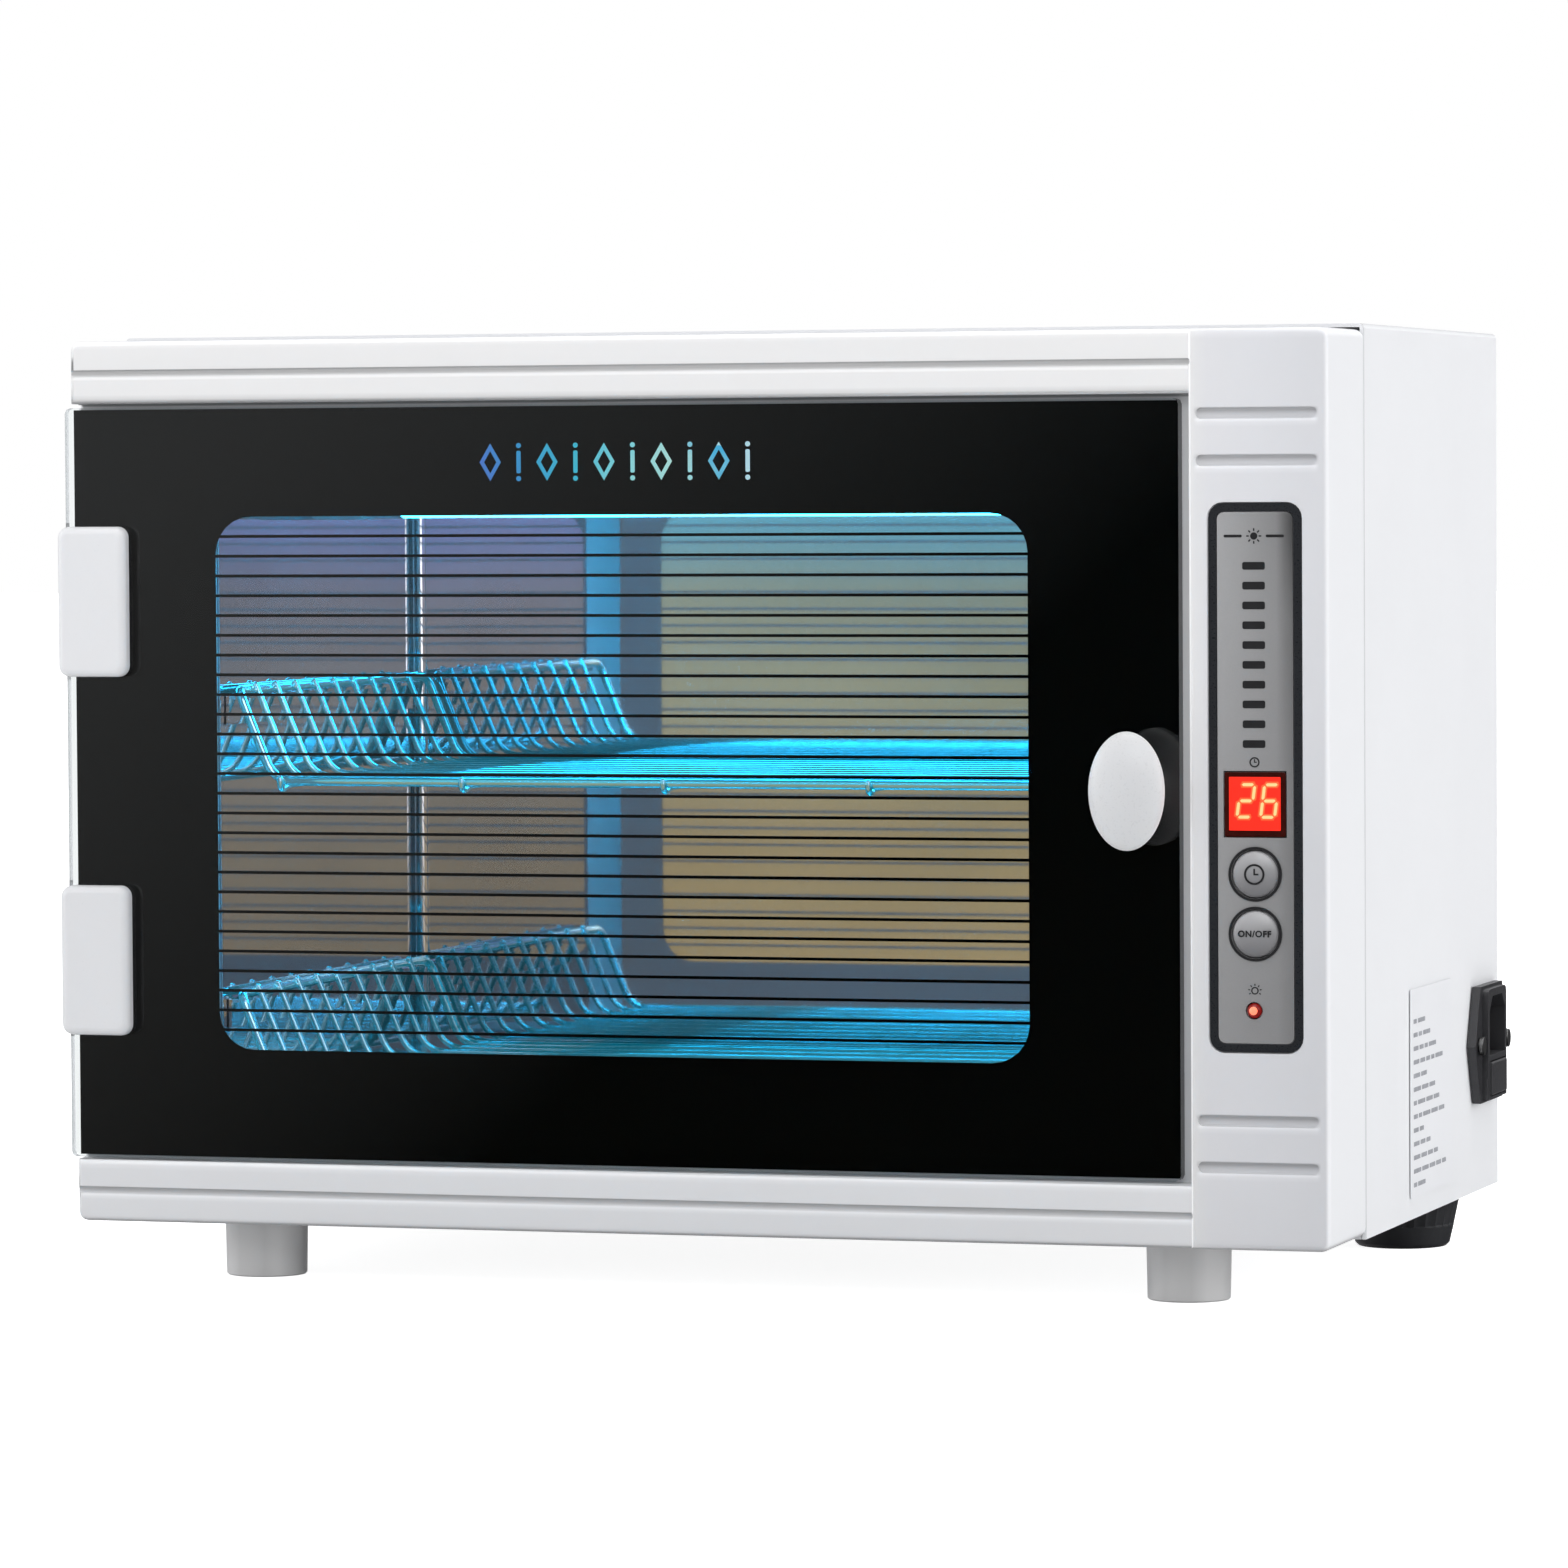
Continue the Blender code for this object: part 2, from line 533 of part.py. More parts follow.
def make_liner(parent, material):
    """The stainless chamber: five walls, a front flange and holes for the lamp leads."""
    front = FRAME_DEPTH + 0.0005
    sheet = LINER_SHEET
    liner_mesh = box_mesh("chamber_liner", (LINER_LEFT - sheet, front, LINER_BOTTOM - sheet),
                          (LINER_RIGHT + sheet, LINER_BACK + sheet, LINER_TOP + sheet),
                          (0.0045, 3, lambda axis, middle: axis == "Z" and middle.y > LINER_BACK))
    liner = add_part("chamber_liner", liner_mesh, material, parent)
    flange = 0.0050
    join(liner, "liner_flange", box_mesh("liner_flange", (LINER_LEFT - flange, front, LINER_BOTTOM - flange),
                                         (LINER_RIGHT + flange, front + sheet, LINER_TOP + flange)))
    inside = box_mesh("liner_inside", (LINER_LEFT, front - 0.002, LINER_BOTTOM),
                      (LINER_RIGHT, LINER_BACK, LINER_TOP),
                      (0.0037, 3, lambda axis, middle: axis == "Z" and middle.y > LINER_BACK - 0.0001))
    cut(liner, "liner_inside", inside)
    for name, x in (("left", LINER_LEFT), ("right", LINER_RIGHT)):
        hole = cylinder_mesh("lead_hole", "X", (x - 0.003, LAMP_Y, LEAD_Z), (x + 0.003, LAMP_Y, LEAD_Z),
                             0.0030, 12)
        cut(liner, f"lead_hole_{name}", hole)
    return liner


def make_runners(parent, material):
    """Angle ledges on the chamber's walls, under the baskets' rims."""
    for level_name, floor in BASKET_FLOORS.items():
        top = floor + BASKET_HEIGHT - ROD_RADIUS - GAP
        for side, wall, inward in (("left", LINER_LEFT + GAP, 1), ("right", LINER_RIGHT - GAP, -1)):
            ledge = sorted((wall, wall + inward * RUNNER_LEDGE))
            web = sorted((wall, wall + inward * 0.0009))
            name = f"basket_runner_{level_name}_{side}"
            mesh = boxes_mesh(name, [((ledge[0], RUNNER_FRONT, top - SHEET), (ledge[1], RUNNER_BACK, top))])
            runner = add_part(name, mesh, material, parent)
            web_box = ((web[0], RUNNER_FRONT, top - RUNNER_WEB), (web[1], RUNNER_BACK, top))
            web_mesh = boxes_mesh(f"{name}_web", [web_box])
            join(runner, f"{name}_web", web_mesh)


def rounded_corner(before, corner, after, radius, steps):
    """Points of an arc-like bend that replaces a sharp corner."""
    start = corner + (before - corner).normalized() * radius
    end = corner + (after - corner).normalized() * radius
    points = []
    for step in range(steps + 1):
        t = step / steps
        points.append(start * (1 - t) ** 2 + corner * 2 * t * (1 - t) + end * t ** 2)
    return points


def basket_section(y, rim_half, rim, floor_level):
    """The bent line of one cross wire, from the left rim down, across and up to the right rim."""
    foot_half = BASKET_RIM_HALF - BASKET_SPLAY
    left_top = Vector((BASKET_CENTRE - rim_half, y, rim))
    left_foot = Vector((BASKET_CENTRE - foot_half, y, floor_level))
    right_foot = Vector((BASKET_CENTRE + foot_half, y, floor_level))
    right_top = Vector((BASKET_CENTRE + rim_half, y, rim))
    bend = 0.0060
    points = [left_top]
    points += rounded_corner(left_top, left_foot, right_foot, bend, 2)
    points += rounded_corner(left_foot, right_foot, right_top, bend, 2)
    points.append(right_top)
    return points


def make_basket(level_name, floor, parent, material):
    """One basket: a bent frame rod, cross wires and five long wires, welded together."""
    rim = floor + BASKET_HEIGHT
    front = basket_section(BASKET_FRONT, BASKET_RIM_HALF - END_INSET, rim, floor)
    back = basket_section(BASKET_BACK, BASKET_RIM_HALF - END_INSET, rim, floor)
    bend = 0.0040
    reach = Vector((END_INSET, bend * 2, 0.0))
    right_front = front[-1] + reach
    right_back = back[-1] + Vector((reach.x, -reach.y, 0.0))
    left_back = back[0] - reach
    left_front = front[0] + Vector((-reach.x, reach.y, 0.0))
    loop = front[1:-1]
    loop += rounded_corner(front[-2], front[-1], right_front, bend, 3)
    loop += [right_front, right_back]
    loop += rounded_corner(right_back, back[-1], back[-2], bend, 3)
    loop += list(reversed(back[1:-1]))
    loop += rounded_corner(back[1], back[0], left_back, bend, 3)
    loop += [left_back, left_front]
    loop += rounded_corner(left_front, front[0], front[1], bend, 3)
    name = f"{level_name}_basket"
    basket = add_part(name, curve_mesh(name, loop, ROD_RADIUS, cyclic=True), material, parent)
    pitch = (BASKET_BACK - BASKET_FRONT) / (CROSS_WIRES + 1)
    tip_half = BASKET_RIM_HALF - 0.0010
    for index in range(CROSS_WIRES):
        y = BASKET_FRONT + pitch * (index + 1)
        points = basket_section(y, tip_half, rim + 0.0010, floor + 0.0002)
        join(basket, f"{name}_cross_{index}", curve_mesh("cross_wire", points, WIRE_RADIUS))
    for index in range(-2, 3):
        x = BASKET_CENTRE + LONG_WIRE_PITCH * index
        x -= math.copysign(0.0050, index) if abs(index) == 2 else 0.0
        z = floor - 0.0011
        ends = [Vector((x, BASKET_FRONT - 0.0019, z)), Vector((x, BASKET_BACK + 0.0016, z))]
        join(basket, f"{name}_long_{index + 2}", curve_mesh("long_wire", ends, WIRE_RADIUS))
    return basket


def make_glass(parent, glass_material, print_material):
    """The glass door and the black print behind it, with its window and thin lines."""
    glass_back = GLASS_FRONT + GLASS_THICKNESS
    corner = (0.0015, 2, lambda axis, middle: axis == "Y")
    glass_mesh = box_mesh("door_glass", (GLASS_LEFT, GLASS_FRONT, GLASS_BOTTOM),
                          (GLASS_RIGHT, glass_back, GLASS_TOP), corner)
    glass = add_part("door_glass", glass_mesh, glass_material, parent)
    hole = cylinder_mesh("knob_hole", "Y", (KNOB_X, -0.002, KNOB_Z), (KNOB_X, 0.010, KNOB_Z), KNOB_HOLE, 16)
    cut(glass, "knob_hole_glass", hole)
    front = glass_back + GAP
    back = front + PRINT_THICKNESS
    print_mesh = box_mesh("door_print", (GLASS_LEFT + PRINT_MARGIN, front, GLASS_BOTTOM + 0.0005),
                          (GLASS_RIGHT - 0.0005, back, GLASS_TOP - 0.0005))
    print_layer = add_part("door_print", print_mesh, print_material, parent)
    centre = ((WINDOW_LEFT + WINDOW_RIGHT) / 2, (WINDOW_BOTTOM + WINDOW_TOP) / 2)
    window = rounded_plate("print_window", centre, WINDOW_RIGHT - WINDOW_LEFT, WINDOW_TOP - WINDOW_BOTTOM,
                           front - 0.001, back + 0.001, WINDOW_RADIUS, 6)
    window_cutter = add_cutter("print_window", window, parent)
    pitch = (WINDOW_TOP - WINDOW_BOTTOM) / (LINE_COUNT + 1)
    lines = []
    for index in range(LINE_COUNT):
        level = WINDOW_BOTTOM + pitch * (index + 1)
        lines.append(((WINDOW_LEFT - 0.002, front - 0.002, level - LINE_THICKNESS / 2),
                      (WINDOW_RIGHT + 0.002, back + 0.002, level + LINE_THICKNESS / 2)))
    combine(window_cutter, add_cutter("print_lines", boxes_mesh("print_lines", lines), parent))
    combine(print_layer, window_cutter)
    cut(print_layer, "knob_hole_print",
        cylinder_mesh("knob_hole", "Y", (KNOB_X, -0.002, KNOB_Z), (KNOB_X, 0.010, KNOB_Z), KNOB_HOLE, 16))


def make_hinges(door, root, clip_material, metal_material):
    """A clip with a barrel on the glass, and a bracket and pin in the frame, at each level."""
    jaw_front = GLASS_FRONT + GLASS_THICKNESS + GAP * 2 + PRINT_THICKNESS
    jaw_back = jaw_front + 0.0017
    for name, level in HINGE_LEVELS.items():
        low_z, high_z = level - CLIP_HALF, level + CLIP_HALF
        clip_mesh = box_mesh(f"hinge_clip_{name}", (CLIP_LEFT, CLIP_FRONT, low_z),
                             (CLIP_RIGHT, jaw_back, high_z),
                             (0.0030, 5, lambda axis, middle: axis == "Y"),
                             (0.0022, 4, lambda axis, middle: middle.y < CLIP_FRONT + 0.0001))
        clip = add_part(f"hinge_clip_{name}", clip_mesh, clip_material, door)
        slot = ((GLASS_LEFT - GAP, GLASS_FRONT - GAP, low_z - 0.002),
                (CLIP_RIGHT + 0.002, jaw_front, high_z + 0.002))
        cut(clip, f"clip_slot_{name}", boxes_mesh("clip_slot", [slot]))
        neck = ((DOOR_AXIS_X - 0.0028, jaw_front + 0.0002, level - BARREL_HALF),
                (DOOR_AXIS_X + 0.0028, DOOR_AXIS_Y, level + BARREL_HALF))
        join(clip, f"clip_neck_{name}", boxes_mesh("clip_neck", [neck]))
        barrel = cylinder_mesh("clip_barrel", "Z", (DOOR_AXIS_X, DOOR_AXIS_Y, level - BARREL_HALF),
                               (DOOR_AXIS_X, DOOR_AXIS_Y, level + BARREL_HALF), BARREL_RADIUS)
        join(clip, f"clip_barrel_{name}", barrel)
        bore = cylinder_mesh("pin_bore", "Z", (DOOR_AXIS_X, DOOR_AXIS_Y, level - 0.030),
                             (DOOR_AXIS_X, DOOR_AXIS_Y, level + 0.030), PIN_HOLE_RADIUS, 24)
        cut(clip, f"clip_bore_{name}", bore)
        make_bracket(name, level, root, metal_material)
        pin = cylinder_mesh(f"hinge_pin_{name}", "Z", (DOOR_AXIS_X, DOOR_AXIS_Y, level - BRACKET_HALF),
                            (DOOR_AXIS_X, DOOR_AXIS_Y, level + BRACKET_HALF), PIN_RADIUS, 24)
        add_part(f"hinge_pin_{name}", pin, metal_material, root)


def make_bracket(name, level, root, material):
    """The fixed half of a hinge: a back plate with a lug above and below the clip's barrel."""
    plate_front = NOTCH_BACK - GAP - 0.0036
    plate = ((0.0034, plate_front, level - BRACKET_HALF), (0.0150, NOTCH_BACK - GAP, level + BRACKET_HALF))
    bracket = add_part(f"hinge_bracket_{name}", boxes_mesh(f"hinge_bracket_{name}", [plate]), material, root)
    for end, sign in (("low", -1), ("high", 1)):
        near = level + sign * (BARREL_HALF + 0.0005)
        far = level + sign * (BRACKET_HALF - 0.0002)
        low_z, high_z = min(near, far), max(near, far)
        arm = ((0.0036, DOOR_AXIS_Y, low_z), (0.0074, plate_front + 0.0010, high_z))
        join(bracket, f"bracket_arm_{name}_{end}", boxes_mesh("bracket_arm", [arm]))
        lug = cylinder_mesh("bracket_lug", "Z", (DOOR_AXIS_X, DOOR_AXIS_Y, low_z + 0.0001),
                            (DOOR_AXIS_X, DOOR_AXIS_Y, high_z - 0.0001), BARREL_RADIUS)
        join(bracket, f"bracket_lug_{name}_{end}", lug)
    bore = cylinder_mesh("bracket_bore", "Z", (DOOR_AXIS_X, DOOR_AXIS_Y, level - 0.030),
                         (DOOR_AXIS_X, DOOR_AXIS_Y, level + 0.030), PIN_HOLE_RADIUS, 24)
    cut(bracket, f"bracket_bore_{name}", bore)


def make_knob(door, knob_material, metal_material):
    """The oval knob on its stem, and the screw that holds it through the glass."""
    bm = bmesh.new()
    centre_y = KNOB_FRONT + KNOB_HALF_DEPTH
    scale = Matrix.Diagonal((KNOB_HALF_WIDTH, KNOB_HALF_DEPTH, KNOB_HALF_HEIGHT, 1.0))
    matrix = Matrix.Translation((KNOB_X, centre_y, KNOB_Z)) @ scale @ Matrix.Rotation(math.pi / 2, 4, "X")
    bmesh.ops.create_uvsphere(bm, u_segments=24, v_segments=12, radius=1.0, matrix=matrix)
    knob = add_part("door_knob", smooth(finish_mesh(bm, "door_knob")), knob_material, door)
    stem_end = GLASS_FRONT - GAP
    stem = cylinder_mesh("knob_stem", "Y", (KNOB_X, centre_y, KNOB_Z), (KNOB_X, stem_end, KNOB_Z),
                         0.0042, 24, 0.0056)
    join(knob, "knob_stem", stem)
    bore = cylinder_mesh("knob_bore", "Y", (KNOB_X, -0.0100, KNOB_Z), (KNOB_X, 0.0050, KNOB_Z), 0.0024, 16)
    cut(knob, "knob_bore", bore)
    head_front = GLASS_FRONT + GLASS_THICKNESS + GAP * 2 + PRINT_THICKNESS
    head = cylinder_mesh("knob_screw", "Y", (KNOB_X, head_front, KNOB_Z),
                         (KNOB_X, head_front + SCREW_HEAD, KNOB_Z), 0.0050, 20)
    screw = add_part("knob_screw", head, metal_material, door)
    shank = cylinder_mesh("knob_shank", "Y", (KNOB_X, -0.0095, KNOB_Z),
                          (KNOB_X, head_front + SCREW_HEAD / 2, KNOB_Z), 0.0020, 12)
    join(screw, "knob_shank", shank)


def make_panel(root, materials):
    """Border, overlay, display lens, lamp and the parts behind them."""
    front, back = 0.0004, RECESS_DEPTH - 0.0001
    margin = 0.00025
    outer_width, outer_height = PANEL_WIDTH - margin * 2, PANEL_HEIGHT - margin * 2
    centre = (PANEL_X, PANEL_Z)
    border_mesh = rounded_plate("panel_border", centre, outer_width, outer_height, front, back,
                                PANEL_RADIUS - margin)
    border = add_part("panel_border", border_mesh, materials["black"], root)
    inner_width, inner_height = outer_width - PANEL_BORDER * 2, outer_height - PANEL_BORDER * 2
    inner_radius = PANEL_RADIUS - PANEL_BORDER
    window = rounded_plate("border_window", centre, inner_width, inner_height, -0.002, 0.004, inner_radius, 4)
    cut(border, "border_window", window)
    overlay_mesh = rounded_plate("control_overlay", centre, inner_width - GAP, inner_height - GAP,
                                 front, back, inner_radius - GAP / 2, 4)
    overlay = add_part("control_overlay", overlay_mesh, materials["silver"], root)
    display = ((DISPLAY_X - DISPLAY_WIDTH / 2, -0.002, DISPLAY_Z - DISPLAY_HEIGHT / 2),
               (DISPLAY_X + DISPLAY_WIDTH / 2, 0.004, DISPLAY_Z + DISPLAY_HEIGHT / 2))
    cut(overlay, "overlay_display", boxes_mesh("overlay_display", [display]))
    for name, level in BUTTON_LEVELS.items():
        hole = cylinder_mesh("overlay_hole", "Y", (BUTTON_X, -0.002, level), (BUTTON_X, 0.004, level),
                             BUTTON_RADIUS + GAP)
        cut(overlay, f"overlay_{name}", hole)
    led_hole = cylinder_mesh("overlay_led", "Y", (LED_X, -0.002, LED_Z), (LED_X, 0.004, LED_Z),
                             LED_RADIUS + GAP, 16)
    cut(overlay, "overlay_led", led_hole)
    place = (DISPLAY_X, DISPLAY_Z)
    lens_back = front + 0.0012
    lens = rounded_plate("display_lens", place, DISPLAY_WIDTH - 0.0005, DISPLAY_HEIGHT - 0.0005,
                         front, lens_back, 0.0004, 1)
    add_part("display_lens", lens, materials["red"], root)
    module = rounded_plate("display_module", place, DISPLAY_WIDTH - 0.0010, DISPLAY_HEIGHT - 0.0010,
                           lens_back + GAP, BOARD_FRONT - GAP, 0.0004, 1)
    add_part("display_module", module, materials["black"], root)
    board = box_mesh("control_board", (0.3180, BOARD_FRONT, 0.0520), (0.3440, BOARD_FRONT + 0.0016, 0.1500))
    add_part("control_board", board, materials["board"], root)
    led_profile = [(0.0, -0.0009), (0.0009, -0.0007), (0.0016, -0.0001), (LED_RADIUS, 0.0008),
                   (LED_RADIUS, BOARD_FRONT - GAP), (0.0, BOARD_FRONT - GAP)]
    led_mesh = turned_mesh("power_led", "Y", (LED_X, 0.0, LED_Z), led_profile, 20)
    add_part("power_led", led_mesh, materials["red"], root)


def make_buttons(root, materials):
    """Two domed push buttons, each with its tact switch on the board."""
    for name, level in BUTTON_LEVELS.items():
        pivot = make_empty(f"{name}_button_axis", (BUTTON_X, 0.0, level), root)
        profile = [(0.0, -0.0008), (0.0022, -0.0007), (0.0040, -0.0004), (0.0054, 0.0), (0.0060, 0.0004),
                   (BUTTON_RADIUS, 0.0009), (BUTTON_RADIUS, 0.0037), (0.0072, 0.0037), (0.0072, 0.0055),
                   (0.0, 0.0055)]
        cap = turned_mesh(f"{name}_button", "Y", (BUTTON_X, 0.0, level), profile, 32)
        add_part(f"{name}_button", cap, materials["silver"], pivot)
        switch = box_mesh(f"{name}_switch", (BUTTON_X - 0.003, 0.0067, level - 0.003),
                          (BUTTON_X + 0.003, BOARD_FRONT - GAP, level + 0.003),
                          (0.0005, 1, lambda axis, middle: axis == "Y"))
        add_part(f"{name}_switch", switch, materials["black"], root)


def make_door_switch(root, materials):
    """The safety switch behind the frame's land, and the plunger that the door presses."""
    x, z = SWITCH_X, SWITCH_Z
    land_back = LAND_Y + LAND_WALL
    body_mesh = box_mesh("door_switch", (x - 0.0050, land_back + GAP, z - 0.0090),
                         (x + 0.0070, land_back + 0.0125, z + 0.0090),
                         (0.0008, 2, lambda axis, middle: axis == "Y"))
    body = add_part("door_switch", body_mesh, materials["black"], root)
    bore = cylinder_mesh("plunger_bore", "Y", (x, 0.005, z), (x, 0.0190, z), CLEARANCE_HOLE, 16)
    cut(body, "plunger_bore", bore)
    tip = GLASS_FRONT + GLASS_THICKNESS + PRINT_THICKNESS + GAP * 2
    pivot = make_empty("door_switch_axis", (x, tip, z), root)
    plunger = cylinder_mesh("door_switch_plunger", "Y", (x, tip, z), (x, 0.0180, z), 0.0015, 16)
    add_part("door_switch_plunger", plunger, materials["white"], pivot)


def make_lamp(root, materials):
    """The tube, its two caps with pins, and the holders under the ceiling."""
    tube_left, tube_right = LAMP_LEFT + CAP_LENGTH + GAP, LAMP_RIGHT - CAP_LENGTH - GAP
    tube = cylinder_mesh("uv_lamp_tube", "X", (tube_left, LAMP_Y, LAMP_Z), (tube_right, LAMP_Y, LAMP_Z),
                         LAMP_RADIUS, 28)
    add_part("uv_lamp_tube", tube, materials["lamp"], root)
    for side, outer, inward in (("left", LAMP_LEFT, 1), ("right", LAMP_RIGHT, -1)):
        ends = sorted((outer, outer + inward * CAP_LENGTH))
        cap = cylinder_mesh(f"lamp_cap_{side}", "X", (ends[0], LAMP_Y, LAMP_Z), (ends[1], LAMP_Y, LAMP_Z),
                            LAMP_RADIUS + 0.0002, 28)
        part = add_part(f"lamp_cap_{side}", cap, materials["aluminium"], root)
        for end, offset in (("front", -0.0025), ("back", 0.0025)):
            tip = sorted((outer - inward * 0.0055, outer + inward * 0.0010))
            pin = cylinder_mesh("cap_pin", "X", (tip[0], LAMP_Y + offset, LAMP_Z),
                                (tip[1], LAMP_Y + offset, LAMP_Z), 0.0011, 10)
            join(part, f"cap_pin_{side}_{end}", pin)
        span = sorted((outer - inward * GAP, outer - inward * 0.0160))
        lower_edges = lambda axis, middle: axis == "X" or axis == "Y" and middle.z < LAMP_Z
        holder_mesh = box_mesh(f"lamp_holder_{side}", (span[0], LAMP_Y - 0.0100, LAMP_Z - 0.0080),
                               (span[1], LAMP_Y + 0.0100, LINER_TOP - GAP), (0.0015, 2, lower_edges))
        holder = add_part(f"lamp_holder_{side}", holder_mesh, materials["white"], root)
        socket = sorted((outer + inward * 0.001, outer - inward * 0.0065))
        hollow = ((socket[0], LAMP_Y - 0.0045, LAMP_Z - 0.0020),
                  (socket[1], LAMP_Y + 0.0045, LAMP_Z + 0.0020))
        cut(holder, f"holder_socket_{side}", boxes_mesh("holder_socket", [hollow]))


def make_supply(root, materials):
    """The ballast and the leads to it."""
    ballast = box_mesh("ballast", (0.2960, 0.0800, 0.0900), (0.3320, 0.1500, 0.1180),
                       (0.0020, 2, lambda axis, middle: True))
    add_part("ballast", ballast, materials["black"], root)
    routes = {
        "mains_wire": [(0.3212, INLET_Y, 0.0480), (0.3120, 0.1860, 0.0490), (0.3060, 0.1780, 0.0700),
                       (0.3080, 0.1640, 0.0960), (0.3100, 0.1516, 0.1040)],
        "lamp_wire_right": [(LAMP_RIGHT + 0.0165, LAMP_Y, LEAD_Z), (0.2930, LAMP_Y, LEAD_Z),
                            (0.3050, 0.1180, 0.1980), (0.3100, 0.1150, 0.1600), (0.3100, 0.1150, 0.1184)],
        "lamp_wire_left": [(LAMP_LEFT - 0.0165, LAMP_Y, LEAD_Z), (0.0200, LAMP_Y, LEAD_Z),
                           (0.0130, 0.1190, 0.2150), (0.0200, 0.1180, 0.2250), (0.1000, 0.1170, 0.2260),
                           (0.2000, 0.1150, 0.2260),
                           (0.2900, 0.1130, 0.2250), (0.3160, 0.1100, 0.2150), (0.3220, 0.1050, 0.1700),
                           (0.3220, 0.1000, 0.1184)],
    }
    for name, places in routes.items():
        points = smooth_route([Vector(place) for place in places], 5)
        add_part(name, smooth(curve_mesh(name, points, WIRE_JACKET_RADIUS)), materials["wire"], root)


def make_inlet(root, materials):
    """The mains inlet: eared flange, face, body, socket, pins, screws and the fuse drawer."""
    side = FRAME_WIDTH
    outline = [(-EAR_REACH, 0.0), (-EAR_SHOULDER, -EAR_HALF_HEIGHT), (EAR_SHOULDER, -EAR_HALF_HEIGHT),
               (EAR_REACH, 0.0), (EAR_SHOULDER, EAR_HALF_HEIGHT), (-EAR_SHOULDER, EAR_HALF_HEIGHT)]
    flange_mesh = outline_mesh("inlet_housing", outline, 0.0, INLET_FLANGE - GAP)
    flange_face = Matrix.Translation((side + INLET_FLANGE, INLET_Y, INLET_Z))
    flange_mesh.transform(flange_face @ Matrix.Rotation(math.pi / 2, 4, "Z"))
    housing = add_part("inlet_housing", flange_mesh, materials["black"], root)
    half_width, half_tall = INLET_HALF_WIDTH, INLET_HALF_HEIGHT
    face = box_mesh("inlet_face", (side + 0.0010, INLET_Y - half_width, INLET_Z - half_tall),
                    (side + INLET_FACE, INLET_Y + half_width, INLET_Z + half_tall),
                    (0.0020, 2, lambda axis, middle: axis == "X" and middle.z > INLET_Z))
    join(housing, "inlet_face", face)
    body_width, body_tall = half_width - 0.0002, half_tall - 0.0002
    body = box_mesh("inlet_body", (side - INLET_DEPTH, INLET_Y - body_width, INLET_Z - body_tall),
                    (side + 0.0020, INLET_Y + body_width, INLET_Z + body_tall))
    join(housing, "inlet_body", body)
    socket = box_mesh("inlet_socket", (side - SOCKET_DEPTH, INLET_Y - 0.0102, INLET_Z - 0.0031),
                      (side + 0.008, INLET_Y + 0.0105, INLET_Z + 0.0134),
                      (0.0040, 1, lambda axis, middle: axis == "X" and middle.z > INLET_Z + 0.010))
    cut(housing, "inlet_socket", socket)
    drawer_low = (side - 0.0220, INLET_Y - 0.0093, INLET_Z - 0.0148)
    drawer_high = (side + 0.008, INLET_Y + 0.0109, INLET_Z - 0.0047)
    cut(housing, "drawer_hole", boxes_mesh("drawer_hole", [(drawer_low, drawer_high)]))
    pins = {"line": (-0.0070, 0.0035), "neutral": (0.0070, 0.0035), "earth": (0.0, 0.0075)}
    for name, (y, z) in pins.items():
        blade = box_mesh(f"inlet_pin_{name}", (side - 0.0153, INLET_Y + y - 0.0010, INLET_Z + z - 0.0020),
                         (side - 0.0010, INLET_Y + y + 0.0010, INLET_Z + z + 0.0020),
                         (0.0005, 1, lambda axis, middle: middle.x > side - 0.0011))
        add_part(f"inlet_pin_{name}", blade, materials["metal"], root)
    for name, sign in (("left", -1), ("right", 1)):
        y = INLET_Y + sign * EAR_SCREW
        hole = cylinder_mesh("ear_hole", "X", (side - 0.001, y, INLET_Z), (side + 0.006, y, INLET_Z),
                             CLEARANCE_HOLE, 12)
        cut(housing, f"ear_hole_{name}", hole)
        shell_hole = cylinder_mesh("shell_ear_hole", "X", (side - 0.003, y, INLET_Z),
                                   (side + 0.002, y, INLET_Z), CLEARANCE_HOLE, 12)
        cut(SHELL, f"shell_ear_hole_{name}", shell_hole)
        face_at = Vector((side + INLET_FLANGE + GAP, y, INLET_Z))
        make_screw(f"inlet_screw_{name}", "X", face_at, 1, 0.0065, 0.0026, materials["metal"], root)
    make_fuse_drawer(root, materials, drawer_low, drawer_high)


def make_fuse_drawer(root, materials, low, high):
    """The drawer under the socket, with the fuse lying in its trough."""
    side = FRAME_WIDTH
    gap = 0.00035
    pivot = make_empty("fuse_drawer_axis", (side, INLET_Y, INLET_Z - 0.0098), root)
    mesh = box_mesh("fuse_drawer", (low[0] + gap, low[1] + gap, low[2] + gap),
                    (side + FUSE_DRAWER_PROUD, high[1] - gap, high[2] - gap),
                    (0.0004, 1, lambda axis, middle: middle.x > side))
    drawer = add_part("fuse_drawer", mesh, materials["black"], pivot)
    fuse_z = low[2] + 0.0054
    trough = ((low[0] + 0.0020, INLET_Y - 0.0022, low[2] + 0.0023),
              (side + 0.0010, INLET_Y + 0.0038, high[2] + 0.002))
    cut(drawer, "fuse_trough", boxes_mesh("fuse_trough", [trough]))
    fuse = cylinder_mesh("fuse", "X", (low[0] + 0.0024, INLET_Y + 0.0008, fuse_z),
                         (side + 0.0004, INLET_Y + 0.0008, fuse_z), 0.0025, 16)
    add_part("fuse", fuse, materials["metal"], pivot)


